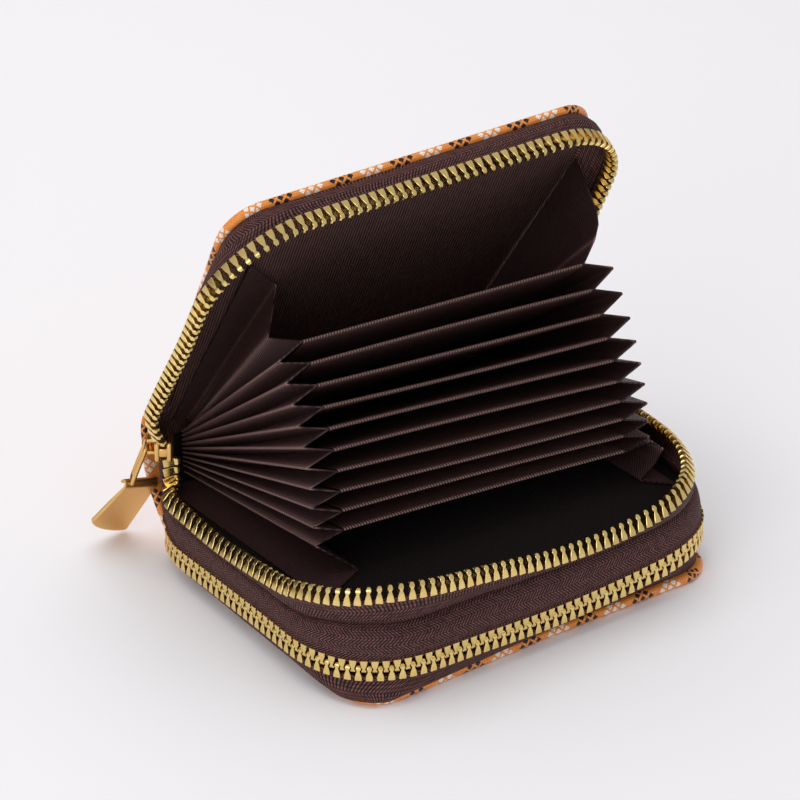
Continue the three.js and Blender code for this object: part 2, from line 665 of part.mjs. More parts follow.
// Slider: two plates joined by a post in the mouth, lips that close on the tapes, and a strap.
function sliderBody(strapAlong) {
  const end = SLIDER_LENGTH / 2;
  const mouth = SLIDER_MOUTH / 2;
  const tail = SLIDER_TAIL / 2;
  const inner = SLIDER_SLOT / 2;
  const outer = inner + PLATE_THICK;
  const ease = PLATE_EASE;
  const plate = [
    [-end, -mouth + ease], [-end + ease, -mouth], [end - ease, -tail], [end, -tail + ease],
    [end, tail - ease], [end - ease, tail], [-end + ease, mouth], [-end, mouth - ease],
  ];
  const lip = (z) => [
    [-end + ease, z * mouth], [end - ease, z * tail],
    [end - ease, z * (tail - LIP_HEIGHT)], [-end + ease, z * (mouth - LIP_HEIGHT)],
  ];
  const post = [
    [-end + POST_FRONT, -POST_HALF], [-end + POST_WIDEST, -POST_HALF], [-end + POST_TIP, 0],
    [-end + POST_WIDEST, POST_HALF], [-end + POST_FRONT, POST_HALF],
  ];
  const pieces = [
    standing(plate, -outer, -inner),
    standing(plate, inner, outer),
    standing(post, -inner - FUSE, inner + FUSE),
  ];
  for (const z of [-1, 1]) {
    const corners = z < 0 ? lip(z) : lip(z).reverse();
    pieces.push(standing(corners, -inner - FUSE, -inner + LIP_DEPTH));
    pieces.push(standing(corners, inner - LIP_DEPTH, inner + FUSE));
  }
  const half = STRAP_SPAN / 2;
  const broad = STRAP_WIDTH / 2;
  const crown = -outer - STRAP_RISE - STRAP_THICK;
  const bar = (a0, a1, x0, x1) => strapAlong
    ? block(x0, x1, a0, a1, -broad, broad)
    : block(x0, x1, -broad, broad, a0, a1);
  pieces.push(bar(-half, -half + STRAP_THICK, crown, -outer + FUSE));
  pieces.push(bar(half - STRAP_THICK, half, crown, -outer + FUSE));
  pieces.push(bar(-half, half, crown, crown + STRAP_THICK));
  return join(pieces);
}
const STRAP_X = -SLIDER_SLOT / 2 - PLATE_THICK - STRAP_RISE / 2;

// Pull ring: a long wire loop that hangs from the strap.
function pullRing() {
  const corners = [[1, 0], [1, 1], [-1, 1], [-1, 0]];
  const path = [];
  corners.forEach(([side, low], quarter) => {
    const y = side * (RING_HALF - RING_CORNER);
    const z = low ? RING_CORNER - RING_LENGTH : -RING_CORNER;
    for (let i = 0; i <= RING_ARC_STEPS; i++) {
      const angle = (Math.PI / 2) * (1 - quarter - i / RING_ARC_STEPS);
      path.push({
        middle: new THREE.Vector3(0, y, z),
        out: new THREE.Vector3(0, Math.cos(angle), Math.sin(angle)),
      });
    }
  });
  const round = RING_SIDES;
  const points = [];
  const triangles = [];
  for (const { middle, out } of path) {
    for (let k = 0; k < round; k++) {
      const angle = (2 * Math.PI * k) / round;
      points.push(middle.clone().addScaledVector(out, RING_CORNER + RING_WIRE * Math.cos(angle))
        .addScaledVector(OUT, RING_WIRE * Math.sin(angle)));
    }
  }
  path.forEach((_, i) => {
    const next = (i + 1) % path.length;
    for (let k = 0; k < round; k++) {
      const [a, b] = [i * round + k, i * round + ((k + 1) % round)];
      const [c, d] = [next * round + ((k + 1) % round), next * round + k];
      triangles.push([a, b, c], [a, c, d]);
    }
  });
  return solid(points, triangles);
}

// Pull tab: a flat bar with a slot near its head and a rounded end, hanging down its own -Z.
function pullTab(length) {
  const half = TAB_WIDTH / 2;
  const ease = TAB_EASE;
  const shape = new THREE.Shape();
  shape.moveTo(-half, TAB_HEAD - ease);
  shape.lineTo(-half, -length + ease);
  shape.quadraticCurveTo(0, -length - ease, half, -length + ease);
  shape.lineTo(half, TAB_HEAD - ease);
  shape.quadraticCurveTo(half, TAB_HEAD, half - ease, TAB_HEAD);
  shape.lineTo(-half + ease, TAB_HEAD);
  shape.quadraticCurveTo(-half, TAB_HEAD, -half, TAB_HEAD - ease);
  const slot = new THREE.Path();
  const corner = TAB_HOLE_CORNER;
  slot.absarc(TAB_HOLE_HALF - corner, TAB_HOLE_TOP - corner, corner, 0, 0.5 * Math.PI);
  slot.absarc(-TAB_HOLE_HALF + corner, TAB_HOLE_TOP - corner, corner, 0.5 * Math.PI, Math.PI);
  slot.absarc(-TAB_HOLE_HALF + corner, TAB_HOLE_LOW + corner, corner, Math.PI, 1.5 * Math.PI);
  slot.absarc(TAB_HOLE_HALF - corner, TAB_HOLE_LOW + corner, corner, 1.5 * Math.PI, 2 * Math.PI);
  shape.holes.push(slot);
  const flat = { depth: TAB_THICK, bevelEnabled: false, curveSegments: 4 };
  const geometry = new THREE.ExtrudeGeometry(shape, flat).translate(0, 0, -TAB_THICK / 2);
  return geometry.applyMatrix4(new THREE.Matrix4().makeBasis(OUT, ACROSS, ALONG.clone().negate()));
}

const upperSlider = new THREE.Group();
upperSlider.position.copy(UPPER_SLIDER_AT);
upperSlider.rotation.z = UPPER_SLIDER_TURN;
wallet.add(upperSlider);
add(upperSlider, "upper_slider", sliderBody(false), BRASS);
const ringHang = new THREE.Group();
ringHang.position.set(STRAP_X, 0, 0);
ringHang.rotation.y = RING_TILT;
upperSlider.add(ringHang);
add(ringHang, "upper_pull_ring", pullRing(), PULL_GOLD);

wallet.updateMatrixWorld(true);
const tabHang = new THREE.Group();
const tabUp = TAB_DOWN.clone().normalize().negate();
const tabFacing = tabUp.clone().cross(TAB_ACROSS).normalize();
const tabAcross = tabFacing.clone().cross(tabUp);
tabHang.applyMatrix4(new THREE.Matrix4().makeBasis(tabAcross, tabFacing, tabUp));
tabHang.position.copy(ringHang.localToWorld(new THREE.Vector3(0, 0, -RING_LENGTH)));
wallet.add(tabHang);
add(tabHang, "upper_pull_tab", pullTab(UPPER_TAB_LENGTH), PULL_GOLD);

// Zip stop at the right end of the upper zip, clamped over both rows on the spine.
const stop = block(-STOP_HALF, STOP_HALF, -STOP_HALF, STOP_HALF, -STOP_HALF_HEIGHT, STOP_HALF_HEIGHT);
add(wallet, "upper_zip_stop", stop, BRASS).position.copy(STOP_AT);

const lowerSlider = new THREE.Group();
lowerSlider.position.copy(LOWER_SLIDER_AT);
lowerSlider.rotation.z = Math.PI;
wallet.add(lowerSlider);
add(lowerSlider, "lower_slider", sliderBody(true), BRASS);
const lowerTab = new THREE.Group();
lowerTab.position.set(STRAP_X, (TAB_HEAD + TAB_HOLE_TOP) / 2, 0);
lowerSlider.add(lowerTab);
const flatTab = pullTab(LOWER_TAB_LENGTH).rotateX(Math.PI / 2).rotateY(Math.PI / 2);
add(lowerTab, "lower_pull_tab", flatTab, PULL_GOLD);

export default wallet;
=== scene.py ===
# %% [markdown]
# # An accordion card wallet, open on a pale table
# The wallet is a strip of orange coated canvas folded twice, with a coin pocket shut by one zip
# below and a fan of card pockets behind a second, open zip above. The CAD model gives every
# piece its place and its joints. This lesson gives the pieces their cloth, metal and print.

# %% Load the frame
import json
from math import cos, pi, radians, sin

import bmesh
import bpy
import numpy as np
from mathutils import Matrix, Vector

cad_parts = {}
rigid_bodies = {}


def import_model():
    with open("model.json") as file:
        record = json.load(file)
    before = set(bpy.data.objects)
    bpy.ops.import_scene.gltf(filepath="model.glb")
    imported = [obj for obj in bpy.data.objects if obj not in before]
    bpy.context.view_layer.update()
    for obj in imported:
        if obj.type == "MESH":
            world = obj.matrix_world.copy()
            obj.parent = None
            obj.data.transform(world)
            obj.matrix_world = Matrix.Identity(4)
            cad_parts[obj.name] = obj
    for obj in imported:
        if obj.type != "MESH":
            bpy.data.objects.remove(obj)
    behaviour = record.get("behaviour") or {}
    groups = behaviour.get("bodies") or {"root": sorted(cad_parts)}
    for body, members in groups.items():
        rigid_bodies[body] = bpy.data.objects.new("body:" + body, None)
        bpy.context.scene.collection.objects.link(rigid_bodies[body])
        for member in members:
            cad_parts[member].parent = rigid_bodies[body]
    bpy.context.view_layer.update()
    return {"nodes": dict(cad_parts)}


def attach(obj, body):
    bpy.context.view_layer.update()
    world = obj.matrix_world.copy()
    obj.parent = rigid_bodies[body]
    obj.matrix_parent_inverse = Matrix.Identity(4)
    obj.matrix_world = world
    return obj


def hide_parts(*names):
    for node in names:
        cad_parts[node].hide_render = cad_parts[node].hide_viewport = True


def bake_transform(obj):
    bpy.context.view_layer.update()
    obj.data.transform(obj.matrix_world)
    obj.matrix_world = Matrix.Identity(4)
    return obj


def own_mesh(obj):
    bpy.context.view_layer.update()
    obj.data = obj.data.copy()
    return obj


for leftover in list(bpy.data.objects):
    bpy.data.objects.remove(leftover)
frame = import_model()
scene = bpy.context.scene
MM = 0.001

# %% [markdown]
# ## Camera, table and light
# The photograph is taken from far away with a long lens, so the edges stay nearly parallel. The
# camera is placed by azimuth, elevation and distance about a point inside the wallet. A big soft
# lamp overhead and an even sky give the flat studio light, with a soft shadow close to the base. A sky
# picture could light it as well, but lamps and a plain sky need no file. The far wall is dark in
# reflections, so that metal shows dark tops and bright fronts as in a real room.

# %% Colours and nodes
def linear(code):
    """sRGB hex to the linear colour that shaders use."""
    parts = [int(code[i:i + 2], 16) / 255 for i in (1, 3, 5)]
    return [c / 12.92 if c <= 0.04045 else ((c + 0.055) / 1.055) ** 2.4 for c in parts] + [1.0]


def node(tree, kind, inputs=None, ramp=(), **settings):
    """Adds a node. An input is a value, or a node or socket to link from. A ramp is (position, hex) pairs."""
    made = tree.nodes.new(kind)
    for key, value in settings.items():
        setattr(made, key, value)
    for stop, (position, code) in enumerate(ramp):
        made.color_ramp.elements[stop].position = position
        made.color_ramp.elements[stop].color = linear(code)
    for place, value in (inputs or {}).items():
        if isinstance(value, bpy.types.Node):
            value = value.outputs[0]
        if isinstance(value, bpy.types.NodeSocket):
            tree.links.new(value, made.inputs[place])
        else:
            made.inputs[place].default_value = value
    return made


print("mid grey in linear light:", round(linear("#808080")[0], 3))

# %% Camera
AZIMUTH, ELEVATION = radians(-34.8), radians(30.19)
DISTANCE, FOCAL_PIXELS, IMAGE = 997.5, 4128.3, 800
TARGET = np.array([-12.65, 1.05, 51.21])
toward = np.array([sin(AZIMUTH) * cos(ELEVATION), -cos(AZIMUTH) * cos(ELEVATION), sin(ELEVATION)])
lens = bpy.data.cameras.new("camera")
lens.sensor_width = 36
lens.lens = 36 * FOCAL_PIXELS / IMAGE
camera = bpy.data.objects.new("camera", lens)
camera.location = (TARGET + DISTANCE * toward) * MM
camera.rotation_euler = (pi / 2 - ELEVATION, 0, AZIMUTH)
scene.collection.objects.link(camera)
scene.camera = camera
print("camera lens in mm:", round(lens.lens, 1))

# %% Sky and lamps
scene.view_settings.view_transform = "Standard"
sky = bpy.data.worlds.new("studio")
scene.world = sky
sky.use_nodes = True
tree = sky.node_tree
direction = node(tree, "ShaderNodeTexCoord")
apart = node(tree, "ShaderNodeSeparateXYZ", {0: direction.outputs["Generated"]})
far_wall = node(tree, "ShaderNodeValToRGB", {"Fac": apart.outputs["Y"]},
                ((0.2, "#FBFBFF"), (0.6, "#4A4640")))
rays = node(tree, "ShaderNodeLightPath")
seen = node(tree, "ShaderNodeMix", {0: rays.outputs["Is Glossy Ray"], 6: linear("#FBFBFF"), 7: far_wall},
            data_type="RGBA")
tree.links.new(seen.outputs[2], tree.nodes["Background"].inputs["Color"])
tree.nodes["Background"].inputs["Strength"].default_value = 0.58
for name, place, aim, size, power in (
    ("overhead", (-0.05, 0.25, 0.9), (0, 0, 0.02), 1.2, 4.6),
    ("left_fill", (-0.9, -0.5, 0.5), (0, 0, 0.05), 0.6, 2.2),
):
    lamp = bpy.data.lights.new(name, "AREA")
    lamp.size = size
    lamp.energy = power
    stand = bpy.data.objects.new(name, lamp)
    stand.location = place
    aim_from = np.array(aim) - np.array(place)
    stand.visible_glossy = name != "overhead"
    stand.rotation_euler = Vector(aim_from).to_track_quat("-Z", "Y").to_euler()
    scene.collection.objects.link(stand)
    print(name, "lamp of", power, "W")

# %% Table
table_mesh = bpy.data.meshes.new("table")
table_mesh.from_pydata([(-4, -4, 0), (4, -4, 0), (4, 4, 0), (-4, 4, 0)], [], [(0, 1, 2, 3)])
table = bpy.data.objects.new("table", table_mesh)
table.location.z = -0.0002
scene.collection.objects.link(table)
paper = bpy.data.materials.new("studio_paper")
paper.use_nodes = True
paper.node_tree.nodes["Principled BSDF"].inputs["Base Color"].default_value = linear("#FBF9FA")
paper.node_tree.nodes["Principled BSDF"].inputs["Roughness"].default_value = 0.9
table_mesh.materials.append(paper)
print("table lies at", round(table.location.z / MM, 1), "mm")

# %% [markdown]
# ## Coated canvas
# The outside is cotton canvas with a printed, slightly glossy plastic coat. The thread shows through
# the coat as ribs about 0.7 mm apart. The print is a plain chequer of small clusters, nine lozenges
# each, black and white by turns on orange. A picture could carry it. Nodes are used instead, because
# they stay sharp at any distance: the cloth is divided into cells, each cell is folded on itself, and
# a lozenge lies where the distances along both axes add up to little. The pieces carry a UV map in
# millimetres of cloth, so the print runs round the turned edges without stretching. Thirteen steps
# fit the panel's width, so that a row of clusters lies on each edge.

# %% Coated canvas
CANVAS_RIB, MOTIF_PITCH = 0.7, 111.6 / 13
LOZENGE_STEP, LOZENGE_HALF = 2.5, 0.85
WAVE_BAND = 2 * pi / 20  # Width of one band of the wave texture at scale 1


def blank(name, roughness, metallic=0.0):
    """A new material with its node tree and its Principled shader."""
    made = bpy.data.materials.new(name)
    made.use_nodes = True
    shader = made.node_tree.nodes["Principled BSDF"]
    shader.inputs["Roughness"].default_value = roughness
    shader.inputs["Metallic"].default_value = metallic
    return made, made.node_tree, shader


canvas, tree, shader = blank("coated_canvas", 0.42)
print("shader made for", canvas.name)

# %% Print on the canvas
cloth_mm = node(tree, "ShaderNodeUVMap", uv_map="cloth_mm")
wobble = node(tree, "ShaderNodeTexNoise", {"Vector": cloth_mm, "Scale": 0.9, "Detail": 2.0})
steps = node(tree, "ShaderNodeVectorMath", {0: cloth_mm, 1: [1 / MOTIF_PITCH] * 3, 2: (0, -0.398, 0)},
             operation="MULTIPLY_ADD")
cell = node(tree, "ShaderNodeVectorMath", {0: steps}, operation="FRACTION")
local = node(tree, "ShaderNodeVectorMath", {0: cell, 1: [MOTIF_PITCH] * 3, 2: [-MOTIF_PITCH / 2] * 3},
             operation="MULTIPLY_ADD")
folded = node(tree, "ShaderNodeVectorMath", {0: local}, operation="ABSOLUTE")
motif = None
for place in ((0, 0, 0), (LOZENGE_STEP / 2, LOZENGE_STEP / 2, 0), (LOZENGE_STEP, 0, 0), (0, LOZENGE_STEP, 0)):
    from_middle = node(tree, "ShaderNodeVectorMath", {0: folded, 1: place}, operation="SUBTRACT")
    away = node(tree, "ShaderNodeVectorMath", {0: from_middle}, operation="ABSOLUTE")
    diamond = node(tree, "ShaderNodeVectorMath", {0: away, 1: (1, 1, 0)}, operation="DOT_PRODUCT")
    lozenge = node(tree, "ShaderNodeMath", {0: diamond.outputs["Value"], 1: LOZENGE_HALF},
                   operation="LESS_THAN")
    if motif is None:
        motif = lozenge
    else:
        motif = node(tree, "ShaderNodeMath", {0: motif, 1: lozenge}, operation="MAXIMUM")
ink = node(tree, "ShaderNodeTexChecker", {"Vector": steps, "Color1": linear("#1E1210"),
           "Color2": linear("#FBEFE2"), "Scale": 1.0})
ground = node(tree, "ShaderNodeValToRGB", {"Fac": wobble}, ((0, "#EA8228"), (1, "#FCA650")))
printed = node(tree, "ShaderNodeMix", {0: motif, 6: ground, 7: ink}, data_type="RGBA")
print("clusters every", round(MOTIF_PITCH, 2), "mm")

# %% Weave of the canvas
canvas_thread = {"Vector": cloth_mm, "Scale": WAVE_BAND / CANVAS_RIB, "Distortion": 0.4, "Detail": 1.0}
ribs, weft = (node(tree, "ShaderNodeTexWave", canvas_thread, bands_direction=way) for way in "XY")
weave = node(tree, "ShaderNodeMath", {0: ribs.outputs["Fac"], 1: weft.outputs["Fac"]}, operation="MAXIMUM")
shade = node(tree, "ShaderNodeMapRange", {"Value": weave, "To Min": 0.7, "To Max": 1.06})
tinted = node(tree, "ShaderNodeVectorMath", {0: printed.outputs[2], "Scale": shade}, operation="SCALE")
relief = node(tree, "ShaderNodeBump", {"Height": weave, "Strength": 0.5, "Distance": 0.0001})
tree.links.new(tinted.outputs[0], shader.inputs["Base Color"])
tree.links.new(relief.outputs[0], shader.inputs["Normal"])
shader.inputs["Coat Weight"].default_value = 0.15
shader.inputs["Coat Roughness"].default_value = 0.35
print("ribs every", CANVAS_RIB, "mm")

# %% [markdown]
# ## Dark cloths
# Lining, pages and gussets are woven dark polyester: fine cords lie side by side, crossed by thinner
# threads, which gives the eye faint lines and a soft sheen. Threads could be modelled, but two wave
# textures multiplied give the weave with no points at all. Cloth that is folded sharply wears pale
# along the fold, and a fold or ridge also catches the light, so the pieces carry a value on their
# points that paints them paler there: real wear and a painted highlight together. The zip tape is a
# herringbone: short yarn ends slanted to and fro, some paler and some darker. They are drawn 0.7 mm
# high, a little coarser than real, so that they show.

# %% Ribbed cloths
def ribbed(name, low, high, worn_and_highlit, rib, thread, roughness, sheen):
    """Ribbed cloth: cords `rib` mm apart along V, threads `thread` mm apart across them."""
    made, tree, shader = blank(name, roughness)
    cloth_mm = node(tree, "ShaderNodeUVMap", uv_map="cloth_mm")
    cords = node(tree, "ShaderNodeTexWave", {"Vector": cloth_mm, "Scale": WAVE_BAND / rib,
                 "Distortion": 0.5, "Detail": 1.0, "Detail Scale": 2.0}, bands_direction="X")
    threads = node(tree, "ShaderNodeTexWave", {"Vector": cloth_mm, "Scale": WAVE_BAND / thread,
                   "Distortion": 0.8, "Detail": 1.0, "Detail Scale": 2.0}, bands_direction="Y")
    fuzz = node(tree, "ShaderNodeTexNoise", {"Vector": cloth_mm, "Scale": 0.35, "Detail": 4.0})
    crossed = node(tree, "ShaderNodeMath", {0: threads.outputs["Fac"], 1: 0.6, 2: 0.4},
                   operation="MULTIPLY_ADD")
    woven = node(tree, "ShaderNodeMath", {0: crossed, 1: cords.outputs["Fac"]}, operation="MULTIPLY")
    level = node(tree, "ShaderNodeMath", {0: fuzz, 1: 0.3, 2: woven}, operation="MULTIPLY_ADD")
    tone = node(tree, "ShaderNodeValToRGB", {"Fac": level}, ((0.15, low), (0.9, high)))
    # The point value mixes in the pale colour along folds and ridges: wear and a painted highlight.
    wear_and_highlight = node(tree, "ShaderNodeAttribute", attribute_name="wear_and_highlight")
    patchy = node(tree, "ShaderNodeMath", {0: wear_and_highlight.outputs["Fac"], 1: cords.outputs["Fac"]},
                  operation="MULTIPLY")
    pale_fold_tone = node(tree, "ShaderNodeMix", {0: patchy, 6: tone, 7: linear(worn_and_highlit)}, data_type="RGBA")
    relief = node(tree, "ShaderNodeBump", {"Height": woven, "Strength": 0.9, "Distance": 0.0002})
    tree.links.new(pale_fold_tone.outputs[2], shader.inputs["Base Color"])
    tree.links.new(relief.outputs[0], shader.inputs["Normal"])
    shader.inputs["Specular IOR Level"].default_value = 0.25
    shader.inputs["Sheen Weight"].default_value = sheen
    shader.inputs["Sheen Roughness"].default_value = 0.4
    shader.inputs["Sheen Tint"].default_value = linear("#C08C84")
    return made


lining_cloth = ribbed("ribbed_lining", "#0A0505", "#6C4B46", "#6C4B46", 0.85, 0.5, 0.7, 0.04)
# The floor, spine and coin pocket linings take a darker copy of the lining cloth without sheen: painted shade
# for cloth that lies under the pages and inside the pocket.
shaded_lining_cloth = ribbed("ribbed_lining_painted_shade", "#090505", "#1E1211", "#1E1211", 0.85, 0.5, 0.8, 0.0)
page_cloth = ribbed("ribbed_page_cloth", "#0E0707", "#64463F", "#A07F78", 0.8, 0.5, 0.6, 0.05)
pleat_cloth = ribbed("pleated_satin", "#1C1011", "#4B3131", "#A8837C", 0.8, 0.5, 0.45, 0.06)
print("ribbed cloths:", lining_cloth.name, shaded_lining_cloth.name, page_cloth.name, pleat_cloth.name)

# %% Cloth of the zip tapes
TAPE_YARN, TAPE_ROW, TAPE_BAND = 0.9, 0.7, 2.1
tape_cloth, tree, shader = blank("polyester_zip_tape", 0.75)
cloth_mm = node(tree, "ShaderNodeUVMap", uv_map="cloth_mm")
apart = node(tree, "ShaderNodeSeparateXYZ", {0: cloth_mm})
zigzag = node(tree, "ShaderNodeMath", {0: apart.outputs["Y"], 1: TAPE_BAND}, operation="PINGPONG")
slant = node(tree, "ShaderNodeMath", {0: apart.outputs["X"], 1: zigzag}, operation="ADD")
yarn_at = node(tree, "ShaderNodeCombineXYZ", {0: slant, 1: apart.outputs["Y"]})
yarns, picks = (node(tree, "ShaderNodeTexWave", {"Vector": yarn_at, "Scale": WAVE_BAND / size,
                "Distortion": uneven, "Detail": 1.0, "Detail Scale": 3.0}, bands_direction=way)
                for size, uneven, way in ((TAPE_YARN, 0.6, "X"), (TAPE_ROW, 0.8, "Y")))
lustre = node(tree, "ShaderNodeTexNoise", {"Vector": yarn_at, "Scale": 0.8, "Detail": 2.0})
broken = node(tree, "ShaderNodeMath", {0: picks.outputs["Fac"], 1: 0.55, 2: 0.45}, operation="MULTIPLY_ADD")
woven = node(tree, "ShaderNodeMath", {0: broken, 1: yarns.outputs["Fac"]}, operation="MULTIPLY")
level = node(tree, "ShaderNodeMath", {0: lustre, 1: woven}, operation="MULTIPLY")
tone = node(tree, "ShaderNodeValToRGB", {"Fac": level}, ((0.05, "#160C0E"), (0.5, "#84544E")))
relief = node(tree, "ShaderNodeBump", {"Height": woven, "Strength": 0.6, "Distance": 0.0001})
tree.links.new(tone.outputs[0], shader.inputs["Base Color"])
tree.links.new(relief.outputs[0], shader.inputs["Normal"])
shader.inputs["Specular IOR Level"].default_value = 0.3
print(tape_cloth.name, "has yarns every", TAPE_YARN, "mm")

# %% [markdown]
# ## Metals and board
# The zip teeth are stamped brass, tumbled bright, a little uneven in colour and gloss. Slider, ring
# and tab are zinc castings with a pale gold plate, softer in gloss and finely grained. The stiffener
# is pressed grey fibre board, dull and mottled. A flat colour would look like plastic, so one noise
# shifts the colour of each, and on the metals it shifts the gloss too.

# %% Metals and board
def speckled(name, roughness, metallic, ramp, grains, detail):
    """A material mottled by a noise with `grains` to the millimetre. The noise is given back for more use."""
    made, tree, shader = blank(name, roughness, metallic)
    place = node(tree, "ShaderNodeTexCoord")
    noise = node(tree, "ShaderNodeTexNoise", {"Vector": place.outputs["Object"], "Scale": grains / MM,
                 "Detail": detail})
    tone = node(tree, "ShaderNodeValToRGB", {"Fac": noise}, ramp)
    tree.links.new(tone.outputs[0], shader.inputs["Base Color"])
    return made, tree, shader, noise


brass, tree, shader, stain = speckled("bright_brass", 0.24, 1.0, ((0, "#E2BE68"), (1, "#F6DF9E")), 0.6, 3.0)
gloss = node(tree, "ShaderNodeMapRange", {"Value": stain, "To Min": 0.16, "To Max": 0.32})
tree.links.new(gloss.outputs[0], shader.inputs["Roughness"])

pale_gold, tree, shader, grain = speckled("pale_gold_plate", 0.3, 1.0, ((0, "#E0AE66"), (1, "#EFC47C")),
                                          3.0, 2.0)
gloss = node(tree, "ShaderNodeMapRange", {"Value": grain, "To Min": 0.24, "To Max": 0.4})
relief = node(tree, "ShaderNodeBump", {"Height": grain, "Strength": 0.08, "Distance": 0.0001})
tree.links.new(gloss.outputs[0], shader.inputs["Roughness"])
tree.links.new(relief.outputs[0], shader.inputs["Normal"])

fibre_board = speckled("fibre_board", 0.9, 0.0, ((0, "#6E655B"), (1, "#9C9186")), 0.7, 5.0)[0]
for name in ("base_board", "divider_board", "lid_board"):
    frame["nodes"][name].data.materials.clear()
    frame["nodes"][name].data.materials.append(fibre_board)
print("metals and board:", brass.name, pale_gold.name, fibre_board.name)

# %% [markdown]
# ## Making a mesh
# Every piece below is a closed mesh made from rows of points in millimetres. A loft joins loops
# of points, as a sock is knitted round by round. A cloth is a grid with two faces and a rim. Curves
# and modifiers could give like shapes, but points also allow a UV map in millimetres of cloth for
# lofts and cloths, so the weave keeps its size.

# %% Lengths and curves
def unit(vectors):
    return vectors / np.maximum(np.linalg.norm(vectors, axis=-1, keepdims=True), 1e-9)


def run(points):
    """Length along rows of points, from 0."""
    steps = np.linalg.norm(np.diff(points, axis=0), axis=-1)
    return np.concatenate([np.zeros((1,) + steps.shape[1:]), np.cumsum(steps, axis=0)])


def smooth(values, at):
    """A smooth curve through evenly spaced values, read at shares from 0 to 1."""
    v = np.asarray(values, float)
    last = len(v) - 1
    x = np.clip(np.asarray(at, float) * last, 0, last - 1e-9)
    i = x.astype(int)
    t = (x - i).reshape(x.shape + (1,) * (v.ndim - 1))
    a, b, c, d = v[np.maximum(i - 1, 0)], v[i], v[i + 1], v[np.minimum(i + 2, last)]
    return b + 0.5 * t * (c - a + t * (2 * a - 5 * b + 4 * c - d + t * (3 * (b - c) + d - a)))


print("a curve through 0, 1 and 0 is at", round(float(smooth([0, 1, 0], 0.25)), 3), "after a quarter")


# %% A piece
def piece(name, points, faces, finish, uvs=None, marks=None, crease=40):
    """A mesh object from points in mm, with its cloth map and its point values."""
    mesh = bpy.data.meshes.new(name)
    mesh.from_pydata((np.asarray(points, float).reshape(-1, 3) * MM).tolist(), [], faces)
    mesh.materials.append(finish)
    if uvs is not None:
        flat = np.asarray(uvs, float).reshape(-1, 2)
        corners = np.empty(len(mesh.loops), int)
        mesh.loops.foreach_get("vertex_index", corners)
        mesh.uv_layers.new(name="cloth_mm").data.foreach_set("uv", flat[corners].ravel())
    for key, values in (marks or {}).items():
        mesh.attributes.new(key, "FLOAT", "POINT").data.foreach_set("value", np.ravel(values))
    shape = bmesh.new()
    shape.from_mesh(mesh)
    bmesh.ops.recalc_face_normals(shape, faces=shape.faces)
    shape.to_mesh(mesh)
    shape.free()
    mesh.shade_smooth()
    mesh.set_sharp_from_angle(angle=radians(crease))
    made = bpy.data.objects.new(name, mesh)
    scene.collection.objects.link(made)
    return made


print("pieces are drawn in mm and kept in m:", MM)


# %% Lofts
def loft_faces(count, sides, endless=False):
    """Quads between `count` loops of `sides` points, and a face on each end unless the loft closes."""
    faces = []
    for i in range(count if endless else count - 1):
        here, there = i * sides, (i + 1) % count * sides
        for j in range(sides):
            k = (j + 1) % sides
            faces.append((here + j, here + k, there + k, there + j))
    if endless:
        return faces
    return faces + [tuple(range(sides)), tuple(range((count - 1) * sides, count * sides))]


def loft(name, loops, finish, marks=None):
    """A closed body through loops of points: V runs round each loop and U along the loops."""
    loops = np.asarray(loops, float)
    count, sides = loops.shape[:2]
    along = run(loops.mean(axis=1))
    across = run(loops[count // 2])
    uvs = np.stack(np.broadcast_arrays(along[:, None], across[None, :]), axis=-1)
    return piece(name, loops, loft_faces(count, sides), finish, uvs, marks)


print("a loft of 3 loops of 4 points has", len(loft_faces(3, 4)), "faces")


# %% Sheets of cloth
def normals(grid):
    """Unit normals of a grid of points."""
    return unit(np.cross(np.gradient(grid, axis=0), np.gradient(grid, axis=1)))


SHEET = 0.4


def cloth(name, grid, finish, wear_and_highlight=None):
    """A sheet with two faces and a rim from a grid of points on its middle."""
    grid = np.asarray(grid, float)
    rows, columns = grid.shape[:2]
    offset = normals(grid) * SHEET / 2
    size = rows * columns
    faces = []
    for i in range(rows - 1):
        for j in range(columns - 1):
            quad = (i * columns + j, i * columns + j + 1, (i + 1) * columns + j + 1, (i + 1) * columns + j)
            faces += [quad, tuple(size + k for k in reversed(quad))]
    rim = list(range(columns))
    rim += [i * columns + columns - 1 for i in range(1, rows)]
    rim += [(rows - 1) * columns + j for j in reversed(range(columns - 1))]
    rim += [i * columns for i in reversed(range(1, rows - 1))]
    faces += [(b, a, size + a, size + b) for a, b in zip(rim, rim[1:] + rim[:1])]
    across, along = run(grid.transpose(1, 0, 2)).T, run(grid)
    uv = np.stack([across, along], axis=-1)
    marks = None if wear_and_highlight is None else {"wear_and_highlight": np.concatenate([np.ravel(wear_and_highlight)] * 2)}
    return piece(name, np.concatenate([grid + offset, grid - offset]).reshape(-1, 3), faces, finish,
                 np.concatenate([uv, uv]).reshape(-1, 2), marks)


print("sheets are", SHEET, "mm thick")

# %% [markdown]
# ## Base and lid covers
# The canvas is glued over a board and its edge is turned round it, so the edge is round and about
# 2.3 mm thick. Only the fold side is plain, because the canvas goes on into the spine there. A box
# with a bevel would have the shape, but its print would break at the edges. So a panel is a stack of
# rings: flat outside, round the edge, and back to the inner face.

# %% Outline of a cover
HALF_WIDTH, FRONT, FOLD_BACK, CORNER = 54.0, -42.0, 41.4, 10.0
FOLD_Y = 42.6
EDGE, PULL_REACH = 2.3, 42
LID_FOLD = np.array([0, 50.41, 33.383])
LID_UP, LID_IN = np.array([0, -0.4352, 0.9003]), np.array([0, -0.9003, -0.4352])


def on_lid(points):
    """Points drawn as if on the base, with +Z into the wallet, carried to the leaning lid."""
    p = np.asarray(points, float)
    return (LID_FOLD + p[..., :1] * [1, 0, 0] + (FOLD_Y - p[..., 1:2]) * LID_UP + p[..., 2:3] * LID_IN)


